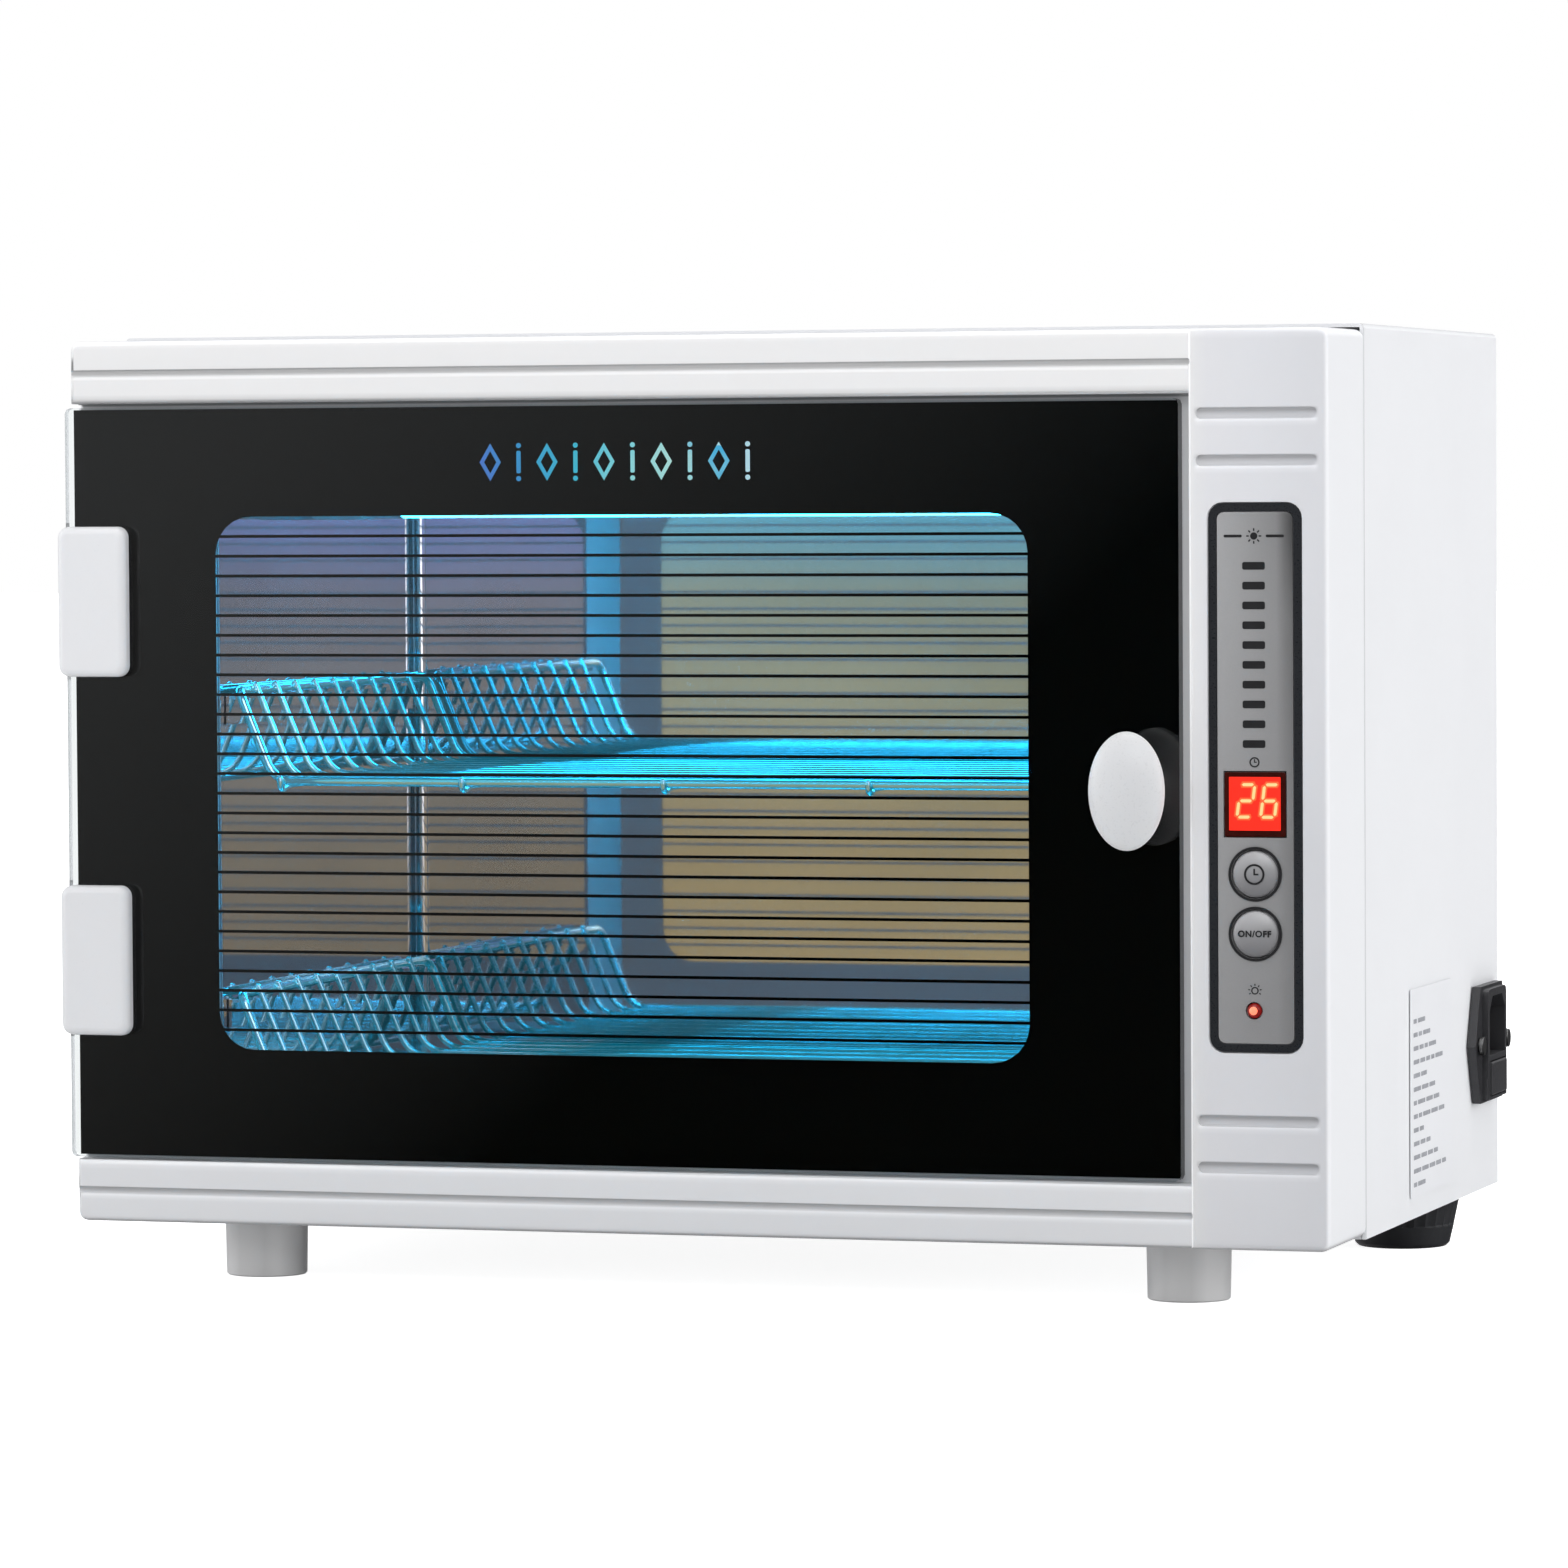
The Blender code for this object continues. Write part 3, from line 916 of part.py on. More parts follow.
def make_feet(root, materials):
    """Two white feet under the frame and two black tapered ones at the rear."""
    middle = FRAME_WIDTH / 2
    for side, sign in (("left", -1), ("right", 1)):
        x = middle + sign * FRONT_FOOT_HALF
        profile = [(0.0, -FOOT_HEIGHT), (0.0106, -FOOT_HEIGHT), (0.0110, 0.0004 - FOOT_HEIGHT),
                   (0.0113, -GAP), (0.0, -GAP)]
        foot = turned_mesh(f"front_foot_{side}", "Z", (x, FRONT_FOOT_Y, 0.0), profile, 32)
        add_part(f"front_foot_{side}", foot, materials["white"], root)
        x = middle + sign * REAR_FOOT_HALF
        add_part(f"rear_foot_{side}", ribbed_foot_mesh(f"rear_foot_{side}", x), materials["rubber"], root)


def ribbed_foot_mesh(name, x):
    """A tapered foot with a smooth lower band and upright ribs above it."""
    top = BODY_BOTTOM - GAP
    band = 0.0060 - FOOT_HEIGHT
    spread = (REAR_FOOT_TOP - REAR_FOOT_BOTTOM) / (top + FOOT_HEIGHT)
    band_radius = REAR_FOOT_BOTTOM + spread * 0.0060
    rings = [(-FOOT_HEIGHT, REAR_FOOT_BOTTOM - 0.0010, 0.0), (0.0010 - FOOT_HEIGHT, REAR_FOOT_BOTTOM, 0.0),
             (band, band_radius, 0.0), (band + 0.0003, band_radius, RIB_DEPTH),
             (top, REAR_FOOT_TOP, RIB_DEPTH)]
    bm = bmesh.new()
    loops = []
    for level, radius, depth in rings:
        loop = []
        for step in range(RIB_COUNT * 2):
            angle = math.pi * step / RIB_COUNT
            reach = radius - depth * (step % 2)
            y = REAR_FOOT_Y + reach * math.sin(angle)
            loop.append(bm.verts.new((x + reach * math.cos(angle), y, level)))
        loops.append(loop)
    for lower, upper in zip(loops, loops[1:]):
        for step in range(len(lower)):
            after = (step + 1) % len(lower)
            bm.faces.new((lower[step], lower[after], upper[after], upper[step]))
    bm.faces.new(list(reversed(loops[0])))
    bm.faces.new(loops[-1])
    return finish_mesh(bm, name)


def make_materials():
    """Plain colours of each finish."""
    return {
        "white": make_material("white_plastic", (0.80, 0.80, 0.82), 0.35),
        "powder": make_material("white_powder_coat", (0.82, 0.83, 0.86), 0.45),
        "glass": make_material("clear_glass", (0.85, 0.92, 0.92), 0.02, 0.0, 0.30),
        "print": make_material("black_print", (0.010, 0.010, 0.010), 0.10),
        "black": make_material("black_plastic", (0.03, 0.03, 0.035), 0.35),
        "silver": make_material("silver_grey", (0.30, 0.30, 0.31), 0.35, 0.3),
        "red": make_material("red_lens", (0.80, 0.02, 0.01), 0.15),
        "board": make_material("green_board", (0.02, 0.16, 0.06), 0.50),
        "metal": make_material("plated_steel", (0.70, 0.70, 0.70), 0.25, 1.0),
        "chrome": make_material("chrome_wire", (0.78, 0.79, 0.80), 0.08, 1.0),
        "steel": make_material("mirror_steel", (0.68, 0.68, 0.69), 0.10, 1.0),
        "aluminium": make_material("lamp_cap_aluminium", (0.75, 0.75, 0.76), 0.30, 1.0),
        "lamp": make_material("lamp_glass", (0.45, 0.85, 1.00), 0.05),
        "wire": make_material("wire_jacket", (0.75, 0.75, 0.72), 0.45),
        "rubber": make_material("black_rubber", (0.02, 0.02, 0.022), 0.60),
        "label": make_material("label_film", (0.72, 0.73, 0.75), 0.40),
    }


clear_scene()
PARTS = make_collection("uv_sterilizer_cabinet")
CUTTERS = make_collection("cutters")
PLACES = {}
MATERIALS = make_materials()
ROOT = make_empty("cabinet_origin", (0.0, 0.0, 0.0))

make_front_frame(ROOT, MATERIALS["white"])
SHELL = make_outer_shell(ROOT, MATERIALS["powder"])
make_plates(ROOT, MATERIALS["powder"])
for screw_name, (screw_x, screw_z) in REAR_SCREWS.items():
    screw_face = Vector((screw_x, BODY_BACK + GAP, screw_z))
    make_screw(f"rear_screw_{screw_name}", "Y", screw_face, 1, 0.0060, 0.0028, MATERIALS["metal"], ROOT)
make_liner(ROOT, MATERIALS["steel"])
make_runners(ROOT, MATERIALS["steel"])

DOOR = make_empty("door_axis", (DOOR_AXIS_X, DOOR_AXIS_Y, 0.0), ROOT)
make_glass(DOOR, MATERIALS["glass"], MATERIALS["print"])
make_hinges(DOOR, ROOT, MATERIALS["white"], MATERIALS["metal"])
make_knob(DOOR, MATERIALS["white"], MATERIALS["metal"])
magnet_mesh = cylinder_mesh("door_magnet", "Y", (KNOB_X, 0.0092, KNOB_Z), (KNOB_X, 0.0137, KNOB_Z),
                            MAGNET_RADIUS)
add_part("door_magnet", magnet_mesh, MATERIALS["metal"], ROOT)
make_door_switch(ROOT, MATERIALS)

for basket_level, basket_floor in BASKET_FLOORS.items():
    slide = make_empty(f"{basket_level}_basket_axis", (BASKET_CENTRE, BASKET_FRONT, basket_floor), ROOT)
    make_basket(basket_level, basket_floor, slide, MATERIALS["chrome"])

make_panel(ROOT, MATERIALS)
make_buttons(ROOT, MATERIALS)
make_lamp(ROOT, MATERIALS)
make_supply(ROOT, MATERIALS)
make_inlet(ROOT, MATERIALS)
make_feet(ROOT, MATERIALS)
label_mesh = box_mesh("rating_label", (FRAME_WIDTH + GAP, *LABEL_LOW),
                      (FRAME_WIDTH + GAP + 0.0002, *LABEL_HIGH))
add_part("rating_label", label_mesh, MATERIALS["label"], ROOT)

ROOT.location = (-ORIGIN_X, -ORIGIN_Y, FOOT_HEIGHT)
bpy.context.view_layer.update()
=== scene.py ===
"""UV sterilizer cabinet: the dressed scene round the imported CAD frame.

at(x, y, z) takes millimetres from the front frame's lower left corner: x to the right, y to the
back from the control pillar's face, z up. Everything else is in metres in the row frame.
"""
import json
import math

import bmesh
import bpy
from mathutils import Matrix, Vector


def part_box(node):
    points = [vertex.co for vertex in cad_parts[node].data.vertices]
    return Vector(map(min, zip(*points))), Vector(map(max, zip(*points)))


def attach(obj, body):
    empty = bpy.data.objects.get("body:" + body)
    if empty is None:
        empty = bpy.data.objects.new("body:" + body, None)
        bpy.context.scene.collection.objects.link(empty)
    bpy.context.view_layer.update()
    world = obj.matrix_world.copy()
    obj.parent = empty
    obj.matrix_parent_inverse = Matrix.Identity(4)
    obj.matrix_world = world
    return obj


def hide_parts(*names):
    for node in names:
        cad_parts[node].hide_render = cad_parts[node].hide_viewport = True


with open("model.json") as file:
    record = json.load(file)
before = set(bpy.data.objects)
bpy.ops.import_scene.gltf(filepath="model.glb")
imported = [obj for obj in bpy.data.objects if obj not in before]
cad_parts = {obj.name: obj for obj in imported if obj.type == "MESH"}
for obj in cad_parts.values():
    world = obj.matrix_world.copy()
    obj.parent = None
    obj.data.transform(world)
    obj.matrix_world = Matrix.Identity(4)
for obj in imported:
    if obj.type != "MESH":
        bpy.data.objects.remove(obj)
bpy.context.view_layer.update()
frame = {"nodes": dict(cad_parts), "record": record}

MM = 0.001
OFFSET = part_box("front_frame")[0]
BODY_OF = {node: body for body, nodes in frame["record"]["behaviour"]["bodies"].items() for node in nodes}
SCENE = bpy.context.scene

# Places and sizes in millimetres
FRAME_WIDTH, FRAME_HEIGHT, PILLAR_LEFT = 350.0, 239.1, 312.8
BASKET_CENTRE, BASKET_FRONT, BASKET_BACK, BASKET_HEIGHT = 156.0, 43.5, 194.0, 25.0
RIM_HALF, RIM_INSET = 125.6, 1.8


def at(x, y, z):
    return OFFSET + Vector((x, y, z)) * MM


def x_at(x):
    return at(x, 0, 0).x


def y_at(y):
    return at(0, y, 0).y


def z_at(z):
    return at(0, 0, z).z


# Shader helpers

def new_material(name):
    """An empty material with its tree and its Principled shader."""
    material = bpy.data.materials.new(name)
    material.use_nodes = True
    tree = material.node_tree
    return material, tree, tree.nodes["Principled BSDF"]


def node(tree, kind, **values):
    """A shader node with some inputs or properties set by name."""
    made = tree.nodes.new(kind)
    for key, value in values.items():
        if key in made.inputs:
            made.inputs[key].default_value = value
        else:
            setattr(made, key, value)
    return made


def noise(tree, scale, detail=3.0, roughness=0.5, stretch=None, source=None):
    """Noise over object coordinates or another vector, stretched along an axis if asked."""
    if source is None:
        source = node(tree, "ShaderNodeTexCoord").outputs["Object"]
    if stretch:
        mapping = node(tree, "ShaderNodeMapping")
        mapping.inputs["Scale"].default_value = stretch
        tree.links.new(source, mapping.inputs["Vector"])
        source = mapping.outputs["Vector"]
    made = node(tree, "ShaderNodeTexNoise", Scale=scale, Detail=detail, Roughness=roughness)
    tree.links.new(source, made.inputs["Vector"])
    return made.outputs["Fac"]


def ramp(tree, source, stops):
    """A colour ramp whose stops are (place, colour)."""
    made = node(tree, "ShaderNodeValToRGB")
    elements = made.color_ramp.elements
    while len(elements) < len(stops):
        elements.new(0.5)
    for element, (place, colour) in zip(elements, stops):
        element.position = place
        element.color = (*colour, 1.0)
    tree.links.new(source, made.inputs["Fac"])
    return made.outputs["Color"]


def grey_ramp(tree, source, stops):
    """A colour ramp of plain greys."""
    return ramp(tree, source, [(place, (value, value, value)) for place, value in stops])


def remap(tree, source, low, high, low_to=0.0, high_to=1.0):
    """A value moved from one range to another, and held at its ends."""
    made = node(tree, "ShaderNodeMapRange")
    for index, value in enumerate((low, high, low_to, high_to)):
        made.inputs[index + 1].default_value = value
    tree.links.new(source, made.inputs[0])
    return made.outputs[0]


def split(tree, vector):
    """X, Y and Z of a vector."""
    made = node(tree, "ShaderNodeSeparateXYZ")
    tree.links.new(vector, made.inputs[0])
    return made.outputs


def split_axes(tree, output):
    """X, Y and Z of the object coordinates or of the object normal."""
    return split(tree, node(tree, "ShaderNodeTexCoord").outputs[output])


def axis_value(tree, axis, start, end):
    """0 to 1 along an object axis between two places in metres."""
    return remap(tree, split_axes(tree, "Object")[axis], start, end)


def math_node(tree, operation, first, second):
    """One operation on two values, each a socket or a number."""
    made = node(tree, "ShaderNodeMath", operation=operation)
    for index, value in enumerate((first, second)):
        if isinstance(value, (int, float)):
            made.inputs[index].default_value = value
        else:
            tree.links.new(value, made.inputs[index])
    return made.outputs[0]


def product(tree, first, second):
    return math_node(tree, "MULTIPLY", first, second)


def either(tree, first, second):
    """The larger of two 0 or 1 values."""
    return math_node(tree, "MAXIMUM", first, second)


def mix_colour(tree, factor, first, second):
    """Two colours, each a socket or a tuple, mixed by a factor socket."""
    made = node(tree, "ShaderNodeMix", data_type="RGBA")
    tree.links.new(factor, made.inputs["Factor"])
    for name, value in (("A", first), ("B", second)):
        target = [item for item in made.inputs if item.name == name and item.type == "RGBA"][0]
        if isinstance(value, tuple):
            target.default_value = (*value, 1.0)
        else:
            tree.links.new(value, target)
    return [item for item in made.outputs if item.type == "RGBA"][0]


def tint(tree, first, second):
    """Two colours multiplied."""
    mixed = node(tree, "ShaderNodeMix", data_type="RGBA", blend_type="MULTIPLY")
    mixed.inputs["Factor"].default_value = 1.0
    tree.links.new(first, mixed.inputs["A"])
    tree.links.new(second, mixed.inputs["B"])
    return mixed.outputs["Result"]


def brighter(tree, colour, factor):
    """A colour times a number that may be over one."""
    made = node(tree, "ShaderNodeVectorMath", operation="SCALE")
    tree.links.new(colour, made.inputs[0])
    made.inputs["Scale"].default_value = factor
    return made.outputs[0]


def scaled(colour, factor):
    return tuple(min(1.0, value * factor) for value in colour)


def height_tone(tree, height, low, high, stops):
    """Greys placed by height in millimetres, as shares of the range from low to high."""
    share = remap(tree, height, z_at(low), z_at(high))
    return grey_ramp(tree, share, [((level - low) / (high - low), value) for level, value in stops])


def add_relief(tree, shader, height, bump, depth):
    """A bump of a strength and a depth in metres."""
    relief = node(tree, "ShaderNodeBump", Strength=bump, Distance=depth)
    tree.links.new(height, relief.inputs["Height"])
    tree.links.new(relief.outputs["Normal"], shader.inputs["Normal"])


def fine_grain(tree, shader, scale, roughness, bump, depth, detail=3.0, coarse=0.6):
    """A fine noise in the roughness, between its two values, and in the bump."""
    fine = noise(tree, scale, detail, coarse)
    tree.links.new(remap(tree, fine, 0.3, 0.7, *roughness), shader.inputs["Roughness"])
    add_relief(tree, shader, fine, bump, depth)


# Materials

# The grey of the frame's plain front faces, and the tint that leaves a colour as it is
PLAIN = 0.80
WHITE_TINT = (1.0, 1.0, 1.0)


def surface(name, colour, roughness, metallic=0.0, spread=0.04, patch=25.0, grain=900.0, bump=0.05,
            depth=0.00005, rough_spread=0.05):
    """A finish whose colour and roughness drift in patches, with a fine grain in its bump."""
    material, tree, shader = new_material(name)
    shader.inputs["Metallic"].default_value = metallic
    drift = noise(tree, patch, 4.0, 0.55)
    tree.links.new(ramp(tree, drift, [(0.3, scaled(colour, 1 - spread)), (0.7, scaled(colour, 1 + spread))]),
                   shader.inputs["Base Color"])
    rough_pair = (max(0.0, roughness - rough_spread), roughness + rough_spread)
    fine_grain(tree, shader, grain, rough_pair, bump, depth)
    return material


def metal(name, colour, roughness, spread, patch=200.0, bump=0.06):
    return surface(name, colour, roughness, metallic=1.0, spread=spread, patch=patch, bump=bump)


def glowing(name, colour, strength, shade=0.92):
    """A lit surface that drifts a little in brightness."""
    material, tree, shader = new_material(name)
    shader.inputs["Base Color"].default_value = (*scaled(colour, 0.4), 1.0)
    shader.inputs["Roughness"].default_value = 0.3
    drift = noise(tree, 400.0, 2.0)
    tree.links.new(ramp(tree, drift, [(0.3, scaled(colour, shade)), (0.7, colour)]),
                   shader.inputs["Emission Color"])
    shader.inputs["Emission Strength"].default_value = strength
    return material


def rail_front(tree, height, share):
    """The rails' front in painted light and shade: painted shade along the lower edges and in the grooves
    with painted highlights below them, painted highlights on the upper edges, and painted shade that darkens
    and cools the lower rail.
    """
    lower = height_tone(tree, height, 0.0, 18.0, [
        (0.0, 0.70), (0.9, 0.76), (1.8, PLAIN), (6.0, PLAIN), (6.6, 0.86), (7.3, 0.96), (7.9, 0.74),
        (8.6, 0.52), (9.2, 0.50), (9.7, PLAIN), (14.2, PLAIN), (15.2, 0.85), (16.2, 0.97), (16.9, 1.0),
        (17.4, PLAIN)])
    upper = height_tone(tree, height, 222.2, FRAME_HEIGHT, [
        (222.2, 0.40), (223.3, 0.66), (224.6, PLAIN), (228.4, PLAIN), (229.0, 0.93), (229.6, 0.74),
        (230.3, 0.52), (231.0, 0.50), (231.6, PLAIN), (236.9, PLAIN), (237.8, 0.86), (238.4, 0.97),
        (FRAME_HEIGHT, 1.0)])
    is_upper = remap(tree, height, z_at(221.4), z_at(221.8))
    # Painted shade: the lower rail darker and a little cooler than the upper.
    rails = ramp(tree, share, [(0.0, (0.93, 0.94, 0.96)), (0.55, WHITE_TINT)])
    rails = tint(tree, rails, grey_ramp(tree, share, [(0.0, 0.80), (1.0, 0.905)]))
    return tint(tree, rails, mix_colour(tree, is_upper, lower, upper))


def pillar_front(tree, place):
    """The pillar's front in painted light and shade: painted shade low down and to the right, painted
    highlights along its left and top edges, and painted shade and highlights in its four slots.
    """
    rise = height_tone(tree, place[2], 0.0, FRAME_HEIGHT, [
        (0.0, 0.62), (1.2, 0.69), (2.4, 0.735), (60.0, 0.755), (150.0, 0.84), (236.6, 0.86), (237.6, 0.92),
        (238.6, 1.0)])
    across = remap(tree, place[0], x_at(PILLAR_LEFT), x_at(FRAME_WIDTH))
    pillar = tint(tree, rise, ramp(tree, across, [
        (0.0, WHITE_TINT), (0.045, (0.985, 0.99, 1.0)), (0.14, (0.945, 0.95, 0.98)),
        (0.5, (0.915, 0.925, 0.96)), (0.86, (0.875, 0.885, 0.92))]))
    slot_left, slot_right, blur = 315.0, 347.2, 0.6
    in_slot = product(tree, remap(tree, place[0], x_at(slot_left - blur), x_at(slot_left + blur)),
                      remap(tree, place[0], x_at(slot_right - blur), x_at(slot_right + blur), 1.0, 0.0))
    slots = None
    slot_levels, reach = (21.5, 33.7, 204.9, 217.1), 3.5
    # Painted shade under each slot's upper lip and a painted highlight along its lower lip.
    for level in slot_levels:
        tone = height_tone(tree, place[2], level - reach, level + reach, [
            (level - reach, PLAIN), (level - 2.4, 0.86), (level - 1.6, 1.0), (level - 1.1, 0.84),
            (level - 0.2, 0.68), (level + 0.7, 0.47), (level + 1.2, 0.60), (level + 1.8, PLAIN)])
        slots = tone if slots is None else tint(tree, slots, brighter(tree, tone, 1 / PLAIN))
    return tint(tree, pillar, mix_colour(tree, in_slot, (PLAIN, PLAIN, PLAIN), slots))


def frame_material():
    """White moulding with painted shade in its grooves and along its edges, and a pillar with painted
    highlights at its left and top; other faces get painted light and shade by the way they face, and the
    pillar's left edge a faint painted glow.
    """
    material, tree, shader = new_material("frame_moulding")
    place = split_axes(tree, "Object")
    normal = split_axes(tree, "Normal")
    share = remap(tree, place[2], z_at(0.0), z_at(FRAME_HEIGHT))
    on_pillar = remap(tree, place[0], x_at(PILLAR_LEFT - 0.1), x_at(PILLAR_LEFT + 0.1))
    front = mix_colour(tree, on_pillar, rail_front(tree, place[2], share), pillar_front(tree, place))
    # Painted shade on the faces that don't face the front: darker low down.
    pale = ramp(tree, share, [(0.0, (0.86, 0.87, 0.885)), (1.0, (0.93, 0.94, 0.955))])
    toned = mix_colour(tree, remap(tree, normal[1], -0.25, -0.75), pale, brighter(tree, front, 1 / PLAIN))
    # Painted light and shade by facing: own tones for faces turned to the right, darker tops and much darker
    # undersides.
    right = mix_colour(tree, head_on(tree), (0.0, 0.0, 0.0), (0.92, 0.93, 0.95))
    for axis, start, end, tone in ((0, 0.25, 0.70, (0.83, 0.84, 0.86)), (0, 0.75, 0.95, right),
                                   (2, 0.85, 0.97, (0.66, 0.665, 0.68)),
                                   (2, -0.35, -0.80, (0.42, 0.42, 0.43))):
        toned = mix_colour(tree, remap(tree, normal[axis], start, end), toned, tone)
    tree.links.new(toned, shader.inputs["Base Color"])
    # Painted highlight: a faint glow on the pillar's left-facing edge.
    leftward = product(tree, remap(tree, normal[0], -0.30, -0.60),
                       remap(tree, normal[0], -0.75, -0.98, 1.0, 0.10))
    leftward = product(tree, leftward, on_pillar)
    shader.inputs["Emission Color"].default_value = (0.96, 0.97, 1.0, 1.0)
    tree.links.new(product(tree, leftward, 0.25), shader.inputs["Emission Strength"])
    fine_grain(tree, shader, 1600.0, (0.30, 0.40), 0.05, 0.00004)
    return material


def head_on(tree):
    """Painted shade for faces turned to the light: darker where they are seen straight on."""
    facing = node(tree, "ShaderNodeLayerWeight", Blend=0.5).outputs["Facing"]
    return grey_ramp(tree, facing, [(0.0, 0.86), (0.35, 0.90), (0.60, 1.0)])


def shell_material():
    """White powder coat with painted shade: darker on top, darker where its sides are seen straight on, and a
    thin painted shade line along the front edge of its sides.
    """
    material, tree, shader = new_material("shell_coat")
    normal = split_axes(tree, "Normal")
    front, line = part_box("outer_shell")[0].y, 1.1 * MM
    edge = grey_ramp(tree, axis_value(tree, 1, front, front + line), [(0.0, 0.70), (0.55, 0.74), (1.0, 1.0)])
    on_side = remap(tree, normal[0], 0.4, 0.6)
    on_top = remap(tree, normal[2], 0.4, 0.8)
    drift = noise(tree, 25.0, 4.0, 0.55)
    coat = ramp(tree, drift, [(0.3, (0.868, 0.878, 0.898)), (0.7, (0.885, 0.895, 0.915))])
    # Painted shade: the head-on sides, the top and the line along the front edge.
    for place, tone in ((on_side, head_on(tree)), (on_top, (0.72, 0.72, 0.72)), (on_side, edge)):
        coat = tint(tree, coat, mix_colour(tree, place, WHITE_TINT, tone))
    tree.links.new(coat, shader.inputs["Base Color"])
    fine_grain(tree, shader, 750.0, (0.37, 0.47), 0.10, 0.00008)
    return material


def foot_material():
    """A moulded white in painted light and shade by how far its surface turns to the left or right: paler
    where it turns to either side, darker where it turns neither way.
    """
    material, tree, shader = new_material("foot_white_shaded")
    turn = remap(tree, split_axes(tree, "Normal")[0], -1.0, 1.0)
    sides = [(-1.0, 0.95), (-0.70, 0.93), (-0.35, 0.73), (0.30, 0.71), (0.65, 0.88), (1.0, 0.90)]
    tree.links.new(grey_ramp(tree, turn, [((side + 1) / 2, value) for side, value in sides]),
                   shader.inputs["Base Color"])
    fine_grain(tree, shader, 1600.0, (0.35, 0.45), 0.05, 0.00004)
    return material


def knob_material():
    """White moulding with a painted highlight that pales it towards its rim."""
    material, tree, shader = new_material("knob_white")
    rim = node(tree, "ShaderNodeLayerWeight", Blend=0.5).outputs["Facing"]
    tree.links.new(ramp(tree, rim, [(0.0, (0.705, 0.712, 0.725)), (0.35, (0.73, 0.735, 0.74)),
                                    (0.75, (0.92, 0.92, 0.92))]), shader.inputs["Base Color"])
    fine_grain(tree, shader, 1600.0, (0.25, 0.35), 0.04, 0.00003)
    return material


def panel_material():
    """Silver-grey overlay with painted reflection and shade: light along its left, dark at the upper right,
    with a fine sparkle.
    """
    material, tree, shader = new_material("overlay_grey")
    low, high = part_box("control_overlay")
    upward = axis_value(tree, 2, low.z, high.z)
    left = grey_ramp(tree, upward, [(0.05, 0.335), (0.13, 0.345), (0.55, 0.405), (0.97, 0.456)])
    right = grey_ramp(tree, upward, [(0.13, 0.232), (0.45, 0.228), (0.55, 0.200), (0.80, 0.165),
                                     (0.97, 0.060)])
    turn = grey_ramp(tree, axis_value(tree, 0, low.x, high.x),
                     [(0.0, 0.0), (0.30, 0.15), (0.78, 0.42), (0.89, 0.75), (1.0, 1.0)])
    sparkle = grey_ramp(tree, noise(tree, 4000.0, 2.0), [(0.3, 0.95), (0.7, 1.0)])
    mixed = tint(tree, mix_colour(tree, turn, left, right), sparkle)
    cool = ramp(tree, upward, [(0.0, (0.985, 0.985, 1.0)), (1.0, (0.98, 0.985, 1.0))])
    tree.links.new(tint(tree, mixed, cool), shader.inputs["Base Color"])
    shader.inputs["Metallic"].default_value = 0.15
    fine_grain(tree, shader, 4000.0, (0.38, 0.50), 0.08, 0.00003, 2.0, 0.5)
    return material


def chrome_material():
    """Bright plated wire in painted lamp light: a cyan tint and a faint cyan glow, and painted shade that
    dims it towards the back of the chamber.
    """
    material, tree, shader = new_material("chrome_plate")
    shader.inputs["Metallic"].default_value = 1.0
    depth = axis_value(tree, 1, y_at(BASKET_FRONT), y_at(BASKET_BACK))
    # Painted light: the cyan tint stands in for the lamp's light on the plate, and the dimming to the back is
    # painted shade.
    plate = ramp(tree, noise(tree, 120.0, 4.0, 0.55), [(0.3, (0.52, 0.76, 0.78)), (0.7, (0.58, 0.82, 0.84))])
    tree.links.new(tint(tree, plate, grey_ramp(tree, depth, [(0.0, 1.0), (0.45, 0.75), (1.0, 0.30)])),
                   shader.inputs["Base Color"])
    # Painted glow: a faint cyan emission, though the wire gives no light.
    shader.inputs["Emission Color"].default_value = (0.0, 0.62, 0.85, 1.0)
    shader.inputs["Emission Strength"].default_value = 0.12
    fine_grain(tree, shader, 700.0, (0.05, 0.12), 0.03, 0.00005)
    return material


def button_material():
    """Domed caps in painted light: brighter at the top and darker below."""
    material, tree, shader = new_material("button_grey")
    low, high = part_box("power_button")
    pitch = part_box("time_button")[0].z - low.z
    above = math_node(tree, "SUBTRACT", split_axes(tree, "Object")[2], low.z - MM)
    height = remap(tree, math_node(tree, "MODULO", above, pitch), MM, high.z - low.z)
    tree.links.new(ramp(tree, height, [(0.05, (0.20, 0.20, 0.21)), (0.45, (0.30, 0.30, 0.31)),
                                       (0.95, (0.46, 0.46, 0.47))]), shader.inputs["Base Color"])
    tree.links.new(remap(tree, noise(tree, 4000.0, 2.0), 0.3, 0.7, 0.30, 0.42), shader.inputs["Roughness"])
    shader.inputs["Metallic"].default_value = 0.15
    return material


